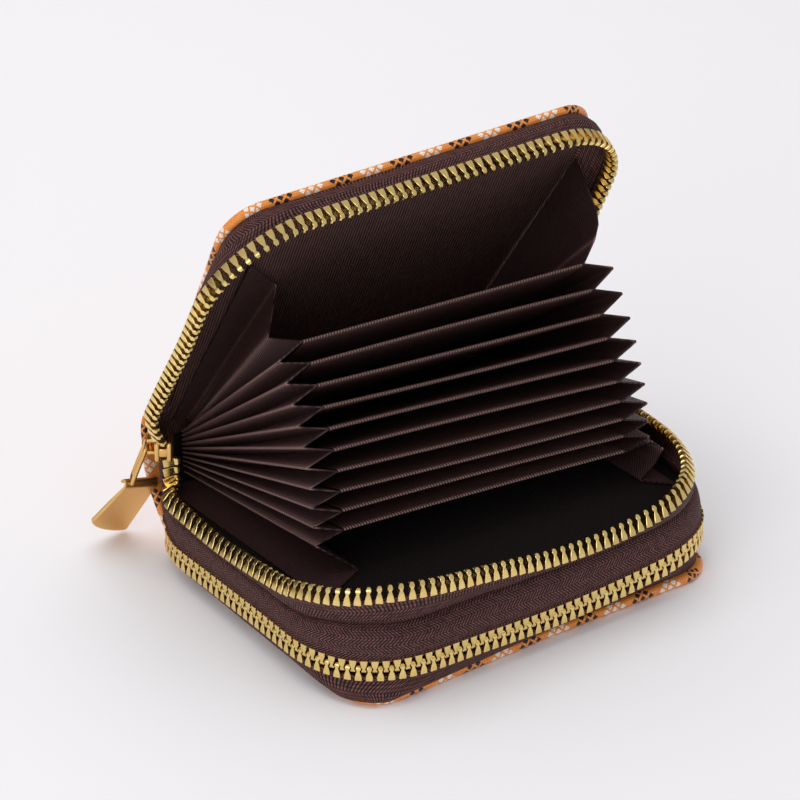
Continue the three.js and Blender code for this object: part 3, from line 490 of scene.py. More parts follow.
def outline():
    """Plan of a cover without its fold side: points and outward normals."""
    side = [((-HALF_WIDTH, y), pi) for y in np.linspace(FOLD_BACK, FRONT + CORNER, 18)[:-1]]
    arc = [((-HALF_WIDTH + CORNER * (1 + cos(a)), FRONT + CORNER * (1 + sin(a))), a)
           for a in np.linspace(pi, 1.5 * pi, 10)[:-1]]
    front = [((x, FRONT), 1.5 * pi) for x in np.linspace(-HALF_WIDTH + CORNER, 0, 12)]
    left = side + arc + front
    right = [((-p[0], p[1]), 3 * pi - a) for p, a in reversed(left[:-1])]
    points = np.array([p for p, _ in left + right])
    outs = np.array([(cos(a), sin(a)) for _, a in left + right])
    return points, outs


print("outline of a cover:", len(outline()[0]), "points")


# %% Base and lid covers
def cover(name, place, crown, pull):
    """A panel. `pull` draws the left half of its front edge out, as the zip's corner does."""
    points, outs = outline()
    reach = np.clip(-points / PULL_REACH, 0, 1)
    points[:, 1] -= pull * reach[:, 0] * reach[:, 1] ** 2
    turn = [(EDGE / 2 * (1 - sin(a)), EDGE / 2 * (1 - cos(a))) for a in np.linspace(0, pi, 9)]
    section = np.array([(2.6, 0.0)] + turn + [(2.6, EDGE), (3.6, EDGE - 0.1), (4.0, 1.0)])
    lengths = run(section)
    spans = np.linspace(1, -1, 25)[1:-1]
    rings, uvs = [], []
    for (inset, z), length in zip(section, lengths):
        walk = points - outs * inset
        rim = [(x, min(y, FOLD_BACK), z) for x, y in walk]
        rings.append(rim + [(span * (HALF_WIDTH - inset), FOLD_BACK, z / EDGE) for span in spans])
        spread = points + outs * (length - lengths[1])
        uvs.append(np.concatenate([spread, [(span * (HALF_WIDTH - inset), FOLD_BACK) for span in spans]]))
    rings, uvs = np.array(rings), np.array(uvs)
    shares = (0.04, 0.2, 0.4, 0.6, 0.8, 0.93)
    face = np.array([rings[0] * [share, share, 0] - [0, 0, crown * (1 - share ** 2)] for share in shares])
    rings = np.concatenate([face, rings])
    uvs = np.concatenate([[uvs[0] * share for share in shares], uvs])
    return piece(name, place(rings), loft_faces(*rings.shape[:2]), canvas, uvs)


base_cover = cover("base_cover_canvas", lambda p: p, 0.0, 1.4)
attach(base_cover, "base")
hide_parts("base_cover")
lid_cover = cover("lid_cover_canvas", on_lid, 0.5, 0.0)
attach(lid_cover, "lid")
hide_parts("lid_cover")
print("cover edge", EDGE, "mm thick")

# %% [markdown]
# ## Spine
# Between base and lid the same canvas bulges over the backs of the pages and rolls softly into the
# lid, because doubled canvas does not crease. It is lofted along a smooth path, and its two ends are
# turned round like the other edges. One piece can follow only one fold, so it is made in two halves
# that meet in its middle. The left end is a little askew: drawn in at the bottom and pushed out where
# it rolls into the lid.

# %% Path of the spine
SPINE_CHORD, SPINE_BULGE, LEAN = 33.7, 4.0, radians(13.4)
SPINE_HALF, SPINE_FLAT = 55.0, 50
SPINE_ROWS, SPINE_MIDDLE = 61, 32


def on_spine(out, up):
    """A point of the spine's section from its distance out of the chord and up along it."""
    return np.array([0, FOLD_Y + cos(LEAN) * out + sin(LEAN) * up, 0.6 - sin(LEAN) * out + cos(LEAN) * up])


def bulge(up):
    return SPINE_BULGE * (1 - (2 * up / SPINE_CHORD - 1) ** 2)


path = [np.array([0, y, z]) for y, z in ((41.0, 0.0), (42.0, 0.12), (42.9, 0.75), (43.5, 1.8))]
path += [on_spine(bulge(up), up) for up in np.linspace(3.5, 30.5, 8)]
path += [np.array([0, y, z]) for y, z in ((51.4, 33.2), (51.3, 36.4), (50.2, 39.8), (48.0, 43.0))]
path += [LID_FOLD + 13.2 * LID_UP + 0.5 * LID_IN]
ways = np.linspace(0, 1, SPINE_ROWS)
track = smooth(path, ways)
inward = np.cross(np.gradient(track, axis=0), [1, 0, 0])
inward = unit(inward) * np.sign(inward[:, 1:2] * -1 + 1e-9 * inward[:, 2:3])
inward[:6] = unit(smooth([[0, 0, 1], inward[8]], np.linspace(0, 0.7, 6)))
print("spine path", round(float(run(track)[-1]), 1), "mm from base to lid")

# %% Rows across the spine
turn = np.linspace(0, pi, 8)
end_x = [SPINE_HALF - EDGE / 2 * (1 - sin(a)) for a in turn]
end_in = [EDGE / 2 * (1 - cos(a)) for a in turn]
flat_x = np.linspace(-SPINE_FLAT, SPINE_FLAT, 21)
across_x = np.concatenate([flat_x, end_x, [SPINE_HALF - 3.4, SPINE_HALF - 3.8],
                           [-SPINE_HALF + 3.8, -SPINE_HALF + 3.4], [-x for x in reversed(end_x)]])
depth = np.concatenate([np.zeros(len(flat_x)), end_in, [EDGE - 0.1, 1.0], [1.0, EDGE - 0.1], end_in[::-1]])
widen = smooth([54.0, 54.6, 55.2, 55.4, 55.2, 54.6, 54.0], ways) / SPINE_HALF
thin = smooth([1, 1, 1, 1, 1, 0.8, 0.45, 0.3], ways)
loops = track[:, None] + inward[:, None] * (depth[None, :] * thin[:, None])[..., None]
loops[:, :, 0] += across_x[None, :] * widen[:, None]
askew = np.clip(-across_x / SPINE_HALF, 0, 1)[None, :] ** 4
loops[:, :, 0] += askew * smooth([0, 1.7, 1.5, 0.9, 0.2, -0.6, -0.9, -0.4, 0], ways)[:, None]
loops[:, :, 1] += askew * smooth([0, -1.2, -1.0, -0.6, 0, 0.5, 0.6, 0.2, 0], ways)[:, None]
last = len(flat_x) - 1
round_end = SPINE_FLAT + run(np.stack([across_x, depth], axis=-1)[last:last + 11])[1:]
cloth_x = np.concatenate([flat_x, round_end, -round_end[::-1]])
print("points across the spine:", len(across_x))

# %% Spine halves and lining
lower, upper = slice(0, SPINE_MIDDLE + 1), slice(SPINE_MIDDLE, SPINE_ROWS)
for name, rows, below, above, start, end in (
    ("spine_lower_canvas", lower, "base", "spine", (0, 40.8, 0), (0, 44.2, 4.4)),
    ("spine_upper_canvas", upper, "spine", "lid", (0, 51.5, 31.0), (0, 49.5, 41.0)),
):
    along = FOLD_BACK + run(track)[rows]
    uvs = np.stack(np.broadcast_arrays(cloth_x[None, :], along[:, None]), axis=-1)
    faces = loft_faces(len(along), len(across_x))
    half = piece(name, loops[rows], faces, canvas, uvs)
    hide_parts("spine_cover")
    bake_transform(half)
spine_grid = [[on_spine(bulge(up) - 1.6, up) + [x, 0, 0] for x in np.linspace(-51, 51, 18)]
              for up in np.linspace(2.5, 31.2, 12)]
# The spine's lining takes the darker cloth too, as painted shade under the pages.
spine_lining = cloth("spine_lining_cloth", spine_grid, shaded_lining_cloth)
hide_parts("spine_lining")
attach(spine_lining, "spine")
print("spine halves meet at", np.round(track[SPINE_MIDDLE][1:], 1), "mm in y and z")

# %% [markdown]
# ## Zip paths
# Both zips run down the left side, round the front and up the right side. A path is a plan curve
# with straight sides and round corners, read at shares of its way that match the CAD stations.
# Heights and leans along it are smooth curves through a few values read off the photograph. A curve
# object could hold a path too, but rows of points can be shifted, tilted and blended at will.

# %% Zip paths
LEGS = np.array([0, 5, 13, 20, 28, 33]) / 33
SHARES = np.linspace(0, 1, 133)


def ring(width, front, back, left, right, tuck=0.0):
    """Plan points and outward normals of a zip path. The left end turns in by `tuck` at the back."""
    half = width / 2
    points, outs = [], []
    for share in SHARES:
        leg = min(int(np.searchsorted(LEGS, share, side="right")) - 1, 4)
        t = (share - LEGS[leg]) / (LEGS[leg + 1] - LEGS[leg])
        angle = pi * (1, 1 + t / 2, 1.5, 1.5 + t / 2, 2)[leg]
        x, y = (
            (-half, back + (front + left - back) * t),
            (-half + left * (1 + cos(angle)), front + left * (1 + sin(angle))),
            (-half + left + (width - left - right) * t, front),
            (half - right * (1 - cos(angle)), front + right * (1 + sin(angle))),
            (half, front + right + (back - front - right) * t),
        )[leg]
        late = max(0.0, (y - back) / 12 + 1) if leg == 0 else 0.0
        angle -= late * tuck / 6
        points.append((x + tuck * late ** 2, y, 0))
        outs.append((cos(angle), sin(angle), 0))
    return np.array(points), np.array(outs)


def at_height(plan, heights):
    """A plan path lifted to heights: one number, or values along the way."""
    lifted = plan.copy()
    lifted[:, 2] = smooth(heights, SHARES) if np.ndim(heights) else heights
    return lifted


END_SHARES = np.linspace(0.06, 1, 16)


def with_ends(middle, left, right):
    """A path with its two end stretches added, each given from the path outwards."""
    before = smooth([middle[0], *left], END_SHARES)[::-1]
    return np.concatenate([before, middle, smooth([middle[-1], *right], END_SHARES)])


print("stations along a zip:", len(SHARES))

# %% Path of the closed chain
chain_plan, chain_out = ring(116.5, -44.1, 40.5, 24.8, 24.8, 3.0)
CHAIN_HEIGHTS = [7.6, 8.5, 9.3, 9.3, 8.8, 9.0, 9.4, 9.0, 8.4, 9.2, 11.0, 11.5, 10.6, 9.6, 8.9, 8.5, 8.3]
CHAIN_HALF = 2.8
chain_mid = at_height(chain_plan, CHAIN_HEIGHTS)
UP = np.array([0, 0, 1.0])
print("chain is", round(float(run(chain_mid)[-1])), "mm long")

# %% [markdown]
# ## Zip tapes
# A tape is a woven strip with a corded edge that the teeth bite. Its section goes from the seam out
# to the cord, round it and back on the other face. Lofting that section along the path gives one
# closed strip. A plain ribbon would show no cord, and the teeth would seem to float. Small waves along
# the way are the puckers that a bent tape has.

# %% A zip tape
TAPE, CORD, TAPE_ROWS = 0.7, 0.75, 10


def zip_tape(name, levels, edge_out, edge_up, pucker):
    """A tape through levels of points, from its seam to the corded edge."""
    grid = smooth(np.array(levels), np.linspace(0, 1, TAPE_ROWS))
    way = run(grid[-1])
    ripple = pucker * (np.sin(way / 3.1) * np.sin(way / 7.7 + 1.0) + 0.5 * np.sin(way / 1.9 + 0.6))
    bulk = np.sin(np.linspace(0, pi, TAPE_ROWS))
    face = normals(grid)
    face = face * np.sign((face * edge_out[None]).sum(-1, keepdims=True) + 1e-9)
    grid = grid + face * (bulk[:, None] * ripple[None, :])[..., None]
    outer, inner = grid + face * TAPE / 2, grid - face * TAPE / 2
    cord_at = grid[-1] + edge_up * 0.45
    cord = [cord_at + CORD * (edge_out * cos(a) + edge_up * sin(a))
            for a in np.radians([-25, 20, 65, 115, 160, 205])]
    loops = np.concatenate([outer, np.array(cord), inner[::-1]]).transpose(1, 0, 2)
    return loft(name, loops, tape_cloth)


print("tape is", TAPE, "mm thick, its cord", 2 * CORD, "mm")

# %% Lower tape, base side
FOOT_HEIGHTS = [1.4, 1.4, 1.5, 1.5, 2.3, 2.4, 2.4, 2.4, 2.4]
FOOT_INSETS = [0.25, 0.25, 0.1, -0.1, 2.2, 3.7, 3.3, 2.6, 2.2]
BELLIES = [0.8, 0.8, 1.0, 1.1, 0.1, -0.4, -0.4, -0.2, 0.2]
foot_plan, foot_out = ring(110.3, -43.15, 40.5, 11.15, 11.15, 3.0)
foot = at_height(foot_plan, FOOT_HEIGHTS) - foot_out * smooth(FOOT_INSETS, SHARES)[:, None]
low_edge = chain_mid - UP * (CHAIN_HALF + 0.2)
belly = foot * 0.62 + low_edge * 0.38 + chain_out * smooth(BELLIES, SHARES)[:, None] * 0.8
wall = foot * 0.3 + low_edge * 0.7 + chain_out * smooth(BELLIES, SHARES)[:, None] * 0.5


def to_spine(level):
    """A level of a lower tape with both ends led on to the inside of the spine."""
    ends = []
    for end, side in ((level[0], -1), (level[-1], 1)):
        y = 42.4 + 0.27 * end[2]
        ends.append([end + [-0.5 * side, 1.2, 0], (side * 54.2, (end[1] + y) / 2 + 0.6, end[2]),
                     (side * 53.2, y, end[2])])
    return with_ends(level, *ends)


tape_out = with_ends(chain_out, [chain_out[0]] * 3, [chain_out[-1]] * 3)
rise = np.tile(UP, (len(tape_out), 1))
levels = [to_spine(level) for level in (foot, belly, wall, low_edge)]
base_tape = zip_tape("lower_zip_base_tape_weave", levels, tape_out, rise, 0.05)
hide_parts("lower_zip_base_tape")
print(base_tape.name, "made")

# %% Lower tape, body side
SEAM_HEIGHTS = [16.4, 16.8, 18.8, 19.0, 19.5, 20.4, 20.2, 20.0, 18.4]
SEAM_INSETS = [1.4, 1.8, 3.2, 3.9, 3.2, 2.6, 2.0, 1.6, 1.6]
seam = at_height(chain_plan, SEAM_HEIGHTS) - chain_out * smooth(SEAM_INSETS, SHARES)[:, None]
high_edge = chain_mid + UP * (CHAIN_HALF + 0.2)
shoulder = 0.42 * seam + 0.58 * high_edge
shoulder[:, :2] = chain_plan[:, :2] - 0.15 * chain_out[:, :2]
swollen = seam * 0.75 + shoulder * 0.25 + chain_out * 0.55
levels = [to_spine(level) for level in (seam + UP * 0.1 - chain_out * 0.6, swollen, shoulder, high_edge)]
body_tape = zip_tape("lower_zip_body_tape_weave", levels, tape_out, -rise, 0.16)
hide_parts("lower_zip_body_tape")
for made in (base_tape, body_tape):
    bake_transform(made)
print(body_tape.name, "made")

# %% [markdown]
# ## Zip teeth
# A metal tooth is clamped on the corded edge with a flat, bell-shaped foot, and ends in a narrow neck
# and a round head that locks between its neighbours. One tooth is a small loft of eight-sided levels
# with crisp edges, because it is stamped. A row repeats it every 2.56 mm along a path and turns it
# with the path. The row is one mesh and not many copies.

# %% One tooth
PITCH = 2.56
TOOTH = np.array([(0.0, 0.84, 1.05), (0.1, 0.92, 1.15), (1.0, 0.86, 1.15), (1.9, 0.64, 1.08),
                  (2.5, 0.42, 1.0), (2.8, 0.36, 0.95), (3.05, 0.47, 0.95), (3.3, 0.62, 0.93),
                  (3.65, 0.64, 0.86), (4.0, 0.54, 0.66), (4.3, 0.3, 0.34)])
TOOTH_SIDES, TOOTH_BEVEL = 8, 0.16
TOOTH_POINTS = TOOTH_SIDES * len(TOOTH)


def tooth_body():
    """One tooth: points as (along, out, up), and its faces."""
    points = []
    for up, wide, thick in TOOTH:
        c = TOOTH_BEVEL * min(wide, thick)
        points += [(a, o, up) for a, o in ((wide - c, thick), (wide, thick - c), (wide, c - thick),
                                           (wide - c, -thick), (c - wide, -thick), (-wide, c - thick),
                                           (-wide, thick - c), (c - wide, thick))]
    return np.array(points), loft_faces(len(TOOTH), TOOTH_SIDES)


print("points on a tooth:", TOOTH_POINTS)


# %% Rows of the closed chain
def teeth(name, points, outs, ups, start, stop=None, height=4.25):
    """A row of teeth along a path, each standing along `ups` with its flat face along `outs`."""
    body, faces = tooth_body()
    body = body * [1, 1, height / TOOTH[-1, 0]]
    way = run(points)
    places = np.arange(start, (stop or way[-1]) - 0.5, PITCH)

    def read(rows):
        return np.stack([np.interp(places, way, rows[:, k]) for k in range(3)], axis=-1)

    at, out, up = read(points), unit(read(outs)), unit(read(ups))
    along = unit(np.cross(up, out))
    out = np.cross(along, up)
    rows = (at[:, None] + body[None, :, :1] * along[:, None] + body[None, :, 1:2] * out[:, None]
            + body[None, :, 2:] * up[:, None])
    every = [tuple(k * len(body) + v for v in face) for k in range(len(places)) for face in faces]
    return piece(name, rows, every, brass, crease=28)


ends_at = float(np.interp(35.5, chain_plan[-21:, 1], run(chain_mid)[-21:]))
rise = np.tile(UP, (len(SHARES), 1))
low_line, high_line = chain_mid - UP * CHAIN_HALF, chain_mid + UP * CHAIN_HALF
CHAIN_START, CHAIN_TOOTH = 0.6, 3.85
base_teeth = teeth("lower_zip_base_row", low_line, chain_out, rise, CHAIN_START, ends_at, CHAIN_TOOTH)
body_teeth = teeth("lower_zip_body_row", high_line, chain_out, -rise, CHAIN_START + PITCH / 2, ends_at,
                   CHAIN_TOOTH)
for made, cad in ((base_teeth, "lower_zip_base_teeth"), (body_teeth, "lower_zip_body_teeth")):
    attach(made, "base")
    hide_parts(cad)
    print(made.name, "has", len(made.data.vertices) // TOOTH_POINTS, "teeth")

# %% [markdown]
# ## Open zip, body side
# The upper zip's body row stands up round the floor and leans in, least at the left front and most on
# the right. Behind both sides it climbs to the spine, where the slider and the stop sit. At its left
# end the teeth lie flat and close together, like steps. The tape and the row are one continuous strip
# each.

# %% Path of the body row
rim_plan, rim_out = ring(116.4, -44.6, 34.5, 28, 27)
rim_plan[:, 0] -= smooth([0, 0, 0, 0, 0, 0.5, 2.2, 2.0, 0.6], SHARES)
RIM_HEIGHTS = [18.6, 17.9, 19.9, 23.2, 25.2, 27.2, 27.4, 25.4, 22.8, 22.4, 24.6, 26.2, 26.2, 26.6, 27.4,
               25, 21]
rim = at_height(rim_plan, RIM_HEIGHTS)
tilt = np.radians(smooth([24, 22, 12, 8, 14, 26, 34, 40, 42], SHARES))[:, None]
rim_up = UP * np.cos(tilt) - rim_out * np.sin(tilt)
rim_face = rim_out * np.cos(tilt) + UP * np.sin(tilt)
left_way = ((-57.8, 37.6, 19.6), (-56.4, 40.2, 21.6), (-55.9, 41.3, 25.4), (-55.7, 41.6, 29.6))
right_way = ((58.2, 37.4, 20.6), (57.7, 39.2, 24.2), (56.9, 40.2, 28.0), (55.6, 42.4, 30.2))
rim_edge = with_ends(rim, left_way, right_way)
left_up = unit(np.array([(0.5, -0.3, 0.8), (0.75, -0.45, 0.4), (0.8, -0.5, 0.2), (0.8, -0.55, 0.1)]))
right_up = unit(np.array([(-0.4, -0.7, 0.6), (-0.1, -0.93, 0.3), (0.1, -0.75, 0.6), (0.3, -0.5, 0.8)]))
rim_ups = unit(with_ends(rim_up, left_up, right_up))
left_face = ((-0.75, 0.1, 0.6), (-0.4, 0.12, 0.9), (-0.25, 0.12, 0.96), (-0.2, 0.12, 0.97))
right_face = ((0.95, 0.1, 0.3), (0.97, -0.2, 0), (0.92, -0.4, 0), (0.85, -0.5, 0))
rim_faces = unit(with_ends(rim_face, left_face, right_face))
print("body row's edge is", round(float(run(rim_edge)[-1])), "mm long")

# %% Tape and teeth of the body row
inset = smooth(SEAM_INSETS, SHARES)[:, None]
rim_seam = at_height(ring(116.4, -44.1, 34.5, 25.5, 25.5)[0], SEAM_HEIGHTS) + UP * 0.15 - rim_out * inset
left_low = ((-56.0, 38, 19.0), (-55.4, 41, 19.6), (-54.6, 43.6, 21.0), (-53.4, 46.8, 26.0))
right_low = ((56.6, 38, 19.0), (56.4, 41, 19.6), (55.4, 43.6, 21.0), (53.6, 46.8, 26.0))
rim_low = with_ends(rim_seam, left_low, right_low)
swell = rim_low * 0.5 + rim_edge * 0.5 + rim_faces * 0.5
levels = [rim_low - rim_faces * 0.5, rim_low * 0.8 + rim_edge * 0.2 + rim_faces * 0.35, swell,
          rim_edge - rim_ups * 0.2]
upper_tape = zip_tape("upper_zip_body_tape_weave", levels, rim_faces, rim_ups, 0.14)
upper_teeth = teeth("upper_zip_body_row", rim_edge + rim_ups * 0.2, rim_faces, rim_ups, 1.2)
for made, kind in ((upper_tape, "tape"), (upper_teeth, "teeth")):
    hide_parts(*("upper_zip_body_" + kind + end for end in ("", "_left", "_right")))
    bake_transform(made)
print("body row has", len(upper_teeth.data.vertices) // TOOTH_POINTS, "teeth")

# %% [markdown]
# ## Open zip, lid side
# The lid's tape stands away from the cover's edge by about 7.5 mm and bulges out between the two,
# most of all round the corners. Down the left side it comes in towards the cover and lies straight. It
# is drawn as on a base and then carried to the leaning lid, because a level plan is easier to read.
# Its ends come down to the spine.

# %% Path of the lid row
lid_plan, lid_out = ring(119.5, -41.7, 28.1, 25, 23)
edge_flat = at_height(lid_plan, [3.4, 6.8, 7.5, 7.5, 7.5, 7.5, 7.5, 7.5, 7.5])
foot_flat = at_height(ring(105.2, -40.6, 28.1, 9.3, 9.3)[0], 2.25)
lid_swell = smooth([-0.2, -0.2, 1.0, 1.3, 1.3, 1.3, 1.2, 0.8, 0.5], SHARES)[:, None]
belly_flat = foot_flat * 0.5 + edge_flat * 0.5 + lid_out * lid_swell


def turn_lid(vectors):
    """Directions drawn as on a base, carried to the leaning lid."""
    return vectors[:, :1] * [1, 0, 0] - vectors[:, 1:2] * LID_UP + vectors[:, 2:] * LID_IN


lid_edges = with_ends(on_lid(edge_flat),
                      ((-59.5, 41.5, 42.3), (-58.6, 41.8, 39.4), (-57.5, 41.7, 36.2), (-56.4, 41.5, 32.9)),
                      ((59.5, 38.7, 39.9), (58.9, 40.0, 37.0), (57.9, 40.8, 34.8), (56.4, 41.5, 32.9)))
lid_feet = with_ends(on_lid(foot_flat),
                     ((-52, 43.4, 41.5), (-51.8, 45.4, 37.7), (-51.8, 46.2, 35.3), (-52, 45.8, 33.3)),
                     ((52, 43.4, 41.5), (51.8, 45.4, 37.7), (51.8, 46.2, 35.3), (52, 45.8, 33.3)))
lid_bellies = with_ends(on_lid(belly_flat),
                        ((-56.7, 43.2, 42.3), (-56.2, 44.4, 39), (-55.7, 44.8, 36.2), (-55.2, 44.6, 33.6)),
                        ((58.2, 42.6, 41.4), (57.6, 44.2, 38), (56.6, 44.8, 35.6), (55.4, 44.8, 33.6)))
end_ups = unit(np.array([(0.05, -0.93, -0.36), (0.1, -0.95, -0.28), (0.15, -0.96, -0.2), (0.2, -0.97, -0.1)]))
lid_ups = unit(with_ends(np.tile(LID_IN, (len(SHARES), 1)), end_ups, end_ups * [-1, 1, 1]))
end_outs = np.array([(-0.98, 0, -0.2), (-0.95, -0.05, -0.3), (-0.95, -0.08, -0.3), (-0.94, -0.1, -0.3)])
lid_faces = unit(with_ends(turn_lid(lid_out), end_outs, end_outs * [-1, 1, 1]))
print("lid row's edge is", round(float(run(lid_edges)[-1])), "mm long")

# %% Tape and teeth of the lid row
shelf = lid_edges * 0.6 + lid_bellies * 0.4
lid_tape = zip_tape("upper_zip_lid_tape_weave", [lid_feet, lid_bellies, shelf, lid_edges - lid_ups * 0.2],
                    lid_faces, lid_ups, 0.12)
lid_teeth = teeth("upper_zip_lid_row", lid_edges + lid_ups * 0.2, lid_faces, lid_ups, 4.2)
for made, kind in ((lid_tape, "tape"), (lid_teeth, "teeth")):
    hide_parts(*("upper_zip_lid_" + kind + end for end in ("", "_left", "_right")))
    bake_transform(made)
print("lid row has", len(lid_teeth.data.vertices) // TOOTH_POINTS, "teeth")

# %% [markdown]
# ## Linings
# The lid's inside, the floor under the cards and the coin pocket's floor are lined with the ribbed
# cloth, glued flat and tucked under the tapes. The floor and the coin pocket take a darker copy of it,
# which is painted shade for cloth under the pages and inside the shut pocket. A plane cut to the
# outline would do, but a grid whose rows are drawn in at the corners also takes the shallow waves of
# glued cloth.

# %% Linings
def lining(name, half, front, back, corner, z, place, droop, finish):
    """A glued sheet with two round front corners. `droop` is the height of its shallow waves."""
    curve = front + corner * (1 - np.cos(np.linspace(0, pi / 2, 9)))
    grid = []
    for y in np.concatenate([curve, np.linspace(front + corner, back, 22)[1:]]):
        bite = max(front + corner - y, 0)
        reach = half - corner + (corner ** 2 - bite ** 2) ** 0.5
        grid.append([(x, y, z + droop * sin(x * 0.21 + y * 0.09) * sin(y * 0.13 + 0.4))
                     for x in np.linspace(-reach, reach, 40)])
    return cloth(name, place(np.array(grid)), finish)


for name, half, front, back, corner, z, place, droop, finish, body, cad, support in (
    ("lid_lining_cloth", 52.4, -40.2, 44.6, 9, 2.7, on_lid, 0.12, lining_cloth,
     "lid", "lid_lining", "lid_board"),
    ("floor_lining_cloth", 54.8, -40.6, 39.5, 23, 18.5, lambda p: p, 0.1, shaded_lining_cloth,
     "base", "floor_lining", "divider_board"),
    ("coin_pocket_cloth", 52, -40, 39.4, 10, 2.7, lambda p: p, 0.05, shaded_lining_cloth,
     "base", "coin_pocket_floor", "base_board"),
):
    made = lining(name, half, front, back, corner, z, place, droop, finish)
    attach(made, body)
    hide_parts(cad)
    print(name, "cut", 2 * half, "by", back - front, "mm")

# %% [markdown]
# ## Card pages
# Ten double leaves hang at the back and open like a fan. Each is a folded strip of ribbed cloth with
# a thin card inside, so its front edge is a rounded fold, worn pale and painted paler as a highlight.
# A thin box would be sharp there.
# So each page is a loft across its width, with loops that go out along the lower face, round the fold
# and back along the upper face. The fan is twisted a little: its left side stands higher and shorter
# than its right.

# %% Places of the pages
PAGES, PAGE_HALF, PAGE_PITCH = 10, 40.5, 1.15
FIRST_LEAN, LEAN_STEP = radians(9.8), radians(3.956)
roots = []
point = np.array([40.5, 20.2])
for k in range(PAGES):
    angle = FIRST_LEAN + k * LEAN_STEP
    roots.append(point.copy())
    point = point + PAGE_PITCH * np.array([sin(angle), cos(angle)])


def leaf(k, share):
    """Angle and length of page k, counted from the floor, at a share of the way from left to right."""
    left, right = 12.5 + 3.84 * k, 8.0 + 2.7 * k + 0.139 * k * k
    return radians(left + (right - left) * share), 57.6 + 0.767 * k + (3.4 - 0.5 * k) * share


def page_point(k, share, depth, lift=0.0):
    """A point on page k: share across, depth of its length, lift off its middle face."""
    angle, length = leaf(k, share)
    bow = 0.35 * sin(pi * share) * depth * sin(1.7 * k + 0.5) + lift
    along, off = np.array([-cos(angle), sin(angle)]), np.array([sin(angle), cos(angle)])
    y, z = roots[k] + depth * length * along + bow * off
    return np.array([(2 * share - 1) * PAGE_HALF, y, z])


print("pages take", round((PAGES - 1) * PAGE_PITCH, 1), "mm of the spine")

# %% Card pages
# The front fold of every page is painted paler, for wear and as a painted highlight where it catches the
# light.
PALE_FOLD_FROM, PALE_FOLD_OVER = 0.985, 0.015
depths = np.concatenate([np.linspace(0.0, 0.97, 12), [PALE_FOLD_FROM, 0.995]])
thick = [0.28 + 0.22 * d for d in depths[:-2]] + [0.48, 0.3]
worn_and_highlit = [max(0.0, (d - PALE_FOLD_FROM) / PALE_FOLD_OVER) for d in depths]
page_shares = np.linspace(0, 1, 22)
wear_and_highlight = np.tile(worn_and_highlit + [1.0] + worn_and_highlit[::-1], (len(page_shares), 1))
for k in range(PAGES):
    number = "%02d" % (PAGES - k)
    loops = []
    for share in page_shares:
        under = [page_point(k, share, d, -t) for d, t in zip(depths, thick)]
        over = [page_point(k, share, d, t) for d, t in zip(depths, thick)]
        loops.append(under + [page_point(k, share, 1.0)] + over[::-1])
    made = loft("page_%s_cloth" % number, loops, page_cloth, {"wear_and_highlight": wear_and_highlight})
    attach(made, "page_%s_body" % number)
    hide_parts("page_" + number)
print("pages:", PAGES)

# %% [markdown]
# ## Gussets
# On each side one strip of the same cloth is pleated between the pages, like the sides of an
# accordion. Every pleat is a V from the edge of one page out to a ridge and back to the next page. A
# cloth simulation could fold the strip, but straight fold lines give the same pleats every time. A
# pleat is drawn between the edges of the two pages that it joins.

# %% A pleat
RIDGE_X, VALLEY_X = 47.9, 40.7
ALONG = np.linspace(0, 1, 13)


def line(back, front):
    """A straight row of points from the back to the front."""
    back, front = np.array(back, float), np.array(front, float)
    return back + (front - back) * ALONG[:, None]


def valley(k, side):
    """The edge of page k on one side, from its root to its front."""
    points = np.array([page_point(k, 0.0 if side < 0 else 1.0, d) for d in ALONG])
    points[:, 0] = side * VALLEY_X
    return points


def pleat(name, lines, worn_and_highlit):
    """Cloth through lines of points, folded at each inner line. The lines whose places are listed in the last
    argument are painted pale: wear and a painted highlight on the fold.
    """
    rows, rubbed_and_highlit = [lines[0]], [0.0]
    for i, (here, there) in enumerate(zip(lines, lines[1:])):
        for t in (0.04, 0.2, 0.4, 0.6, 0.8, 0.96):
            rows.append(here + (there - here) * t)
            rubbed_and_highlit.append(max((i in worn_and_highlit) * (1 - t) ** 9, (i + 1 in worn_and_highlit) * t ** 9))
    rows, rubbed_and_highlit = np.array(rows + [lines[-1]]), np.array(rubbed_and_highlit + [0.0])
    wear_and_highlight = rubbed_and_highlit[:, None] * np.linspace(0.5, 1, len(ALONG))[None, :]
    made = cloth(name, rows, pleat_cloth, wear_and_highlight)
    flat = (float(run(rows).max()), float(run(rows.transpose(1, 0, 2)).max()))
    return made, flat


print("ridges stand", round(RIDGE_X - VALLEY_X, 1), "mm out from the pages")

# %% Pleats between the pages
for side, hand in ((-1, "left"), (1, "right")):
    setback = 2.2 if side < 0 else -1.0
    widest = 0.0
    for k in range(PAGES - 1):
        low, high = valley(k, side), valley(k + 1, side)
        angle = leaf(k, 0.5)[0]
        front = (low[-1] + high[-1])[1:] / 2 + setback * np.array([cos(angle), -sin(angle)])
        ridge = line((side * RIDGE_X, 45.5, 22.6 + 1.2 * (k + 0.5)), (side * RIDGE_X, *front))
        below, above = "page_%02d" % (PAGES - k), "page_%02d" % (PAGES - 1 - k)
        name = "%s_pleat_%02d" % (hand, PAGES - 1 - k)
        made, flat = pleat(name, (low, ridge, high), (1,))
        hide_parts(hand + "_gusset")
        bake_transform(made)
        widest = max(widest, flat[0])
    print(hand, "pleats, widest cut", round(widest, 1), "by", round(flat[1], 1), "mm")

# %% [markdown]
# ## Flaps of the gussets
# The strip's two ends are glued down, one to the lid lining and one to the floor. The left flap lies
# wide on the lid, the right one is pulled nearly straight between lid and page. On the floor the left
# flap lies flat in front of its last ridge, and the right one stands up in a loose loop first.

# %% Lines of the flaps
def lid_line(back, front):
    """A line on or near the lid, from points given as across, up the lid and out of it."""
    return line(*(on_lid((x, FOLD_Y - up, out)) for x, up, out in (back, front)))


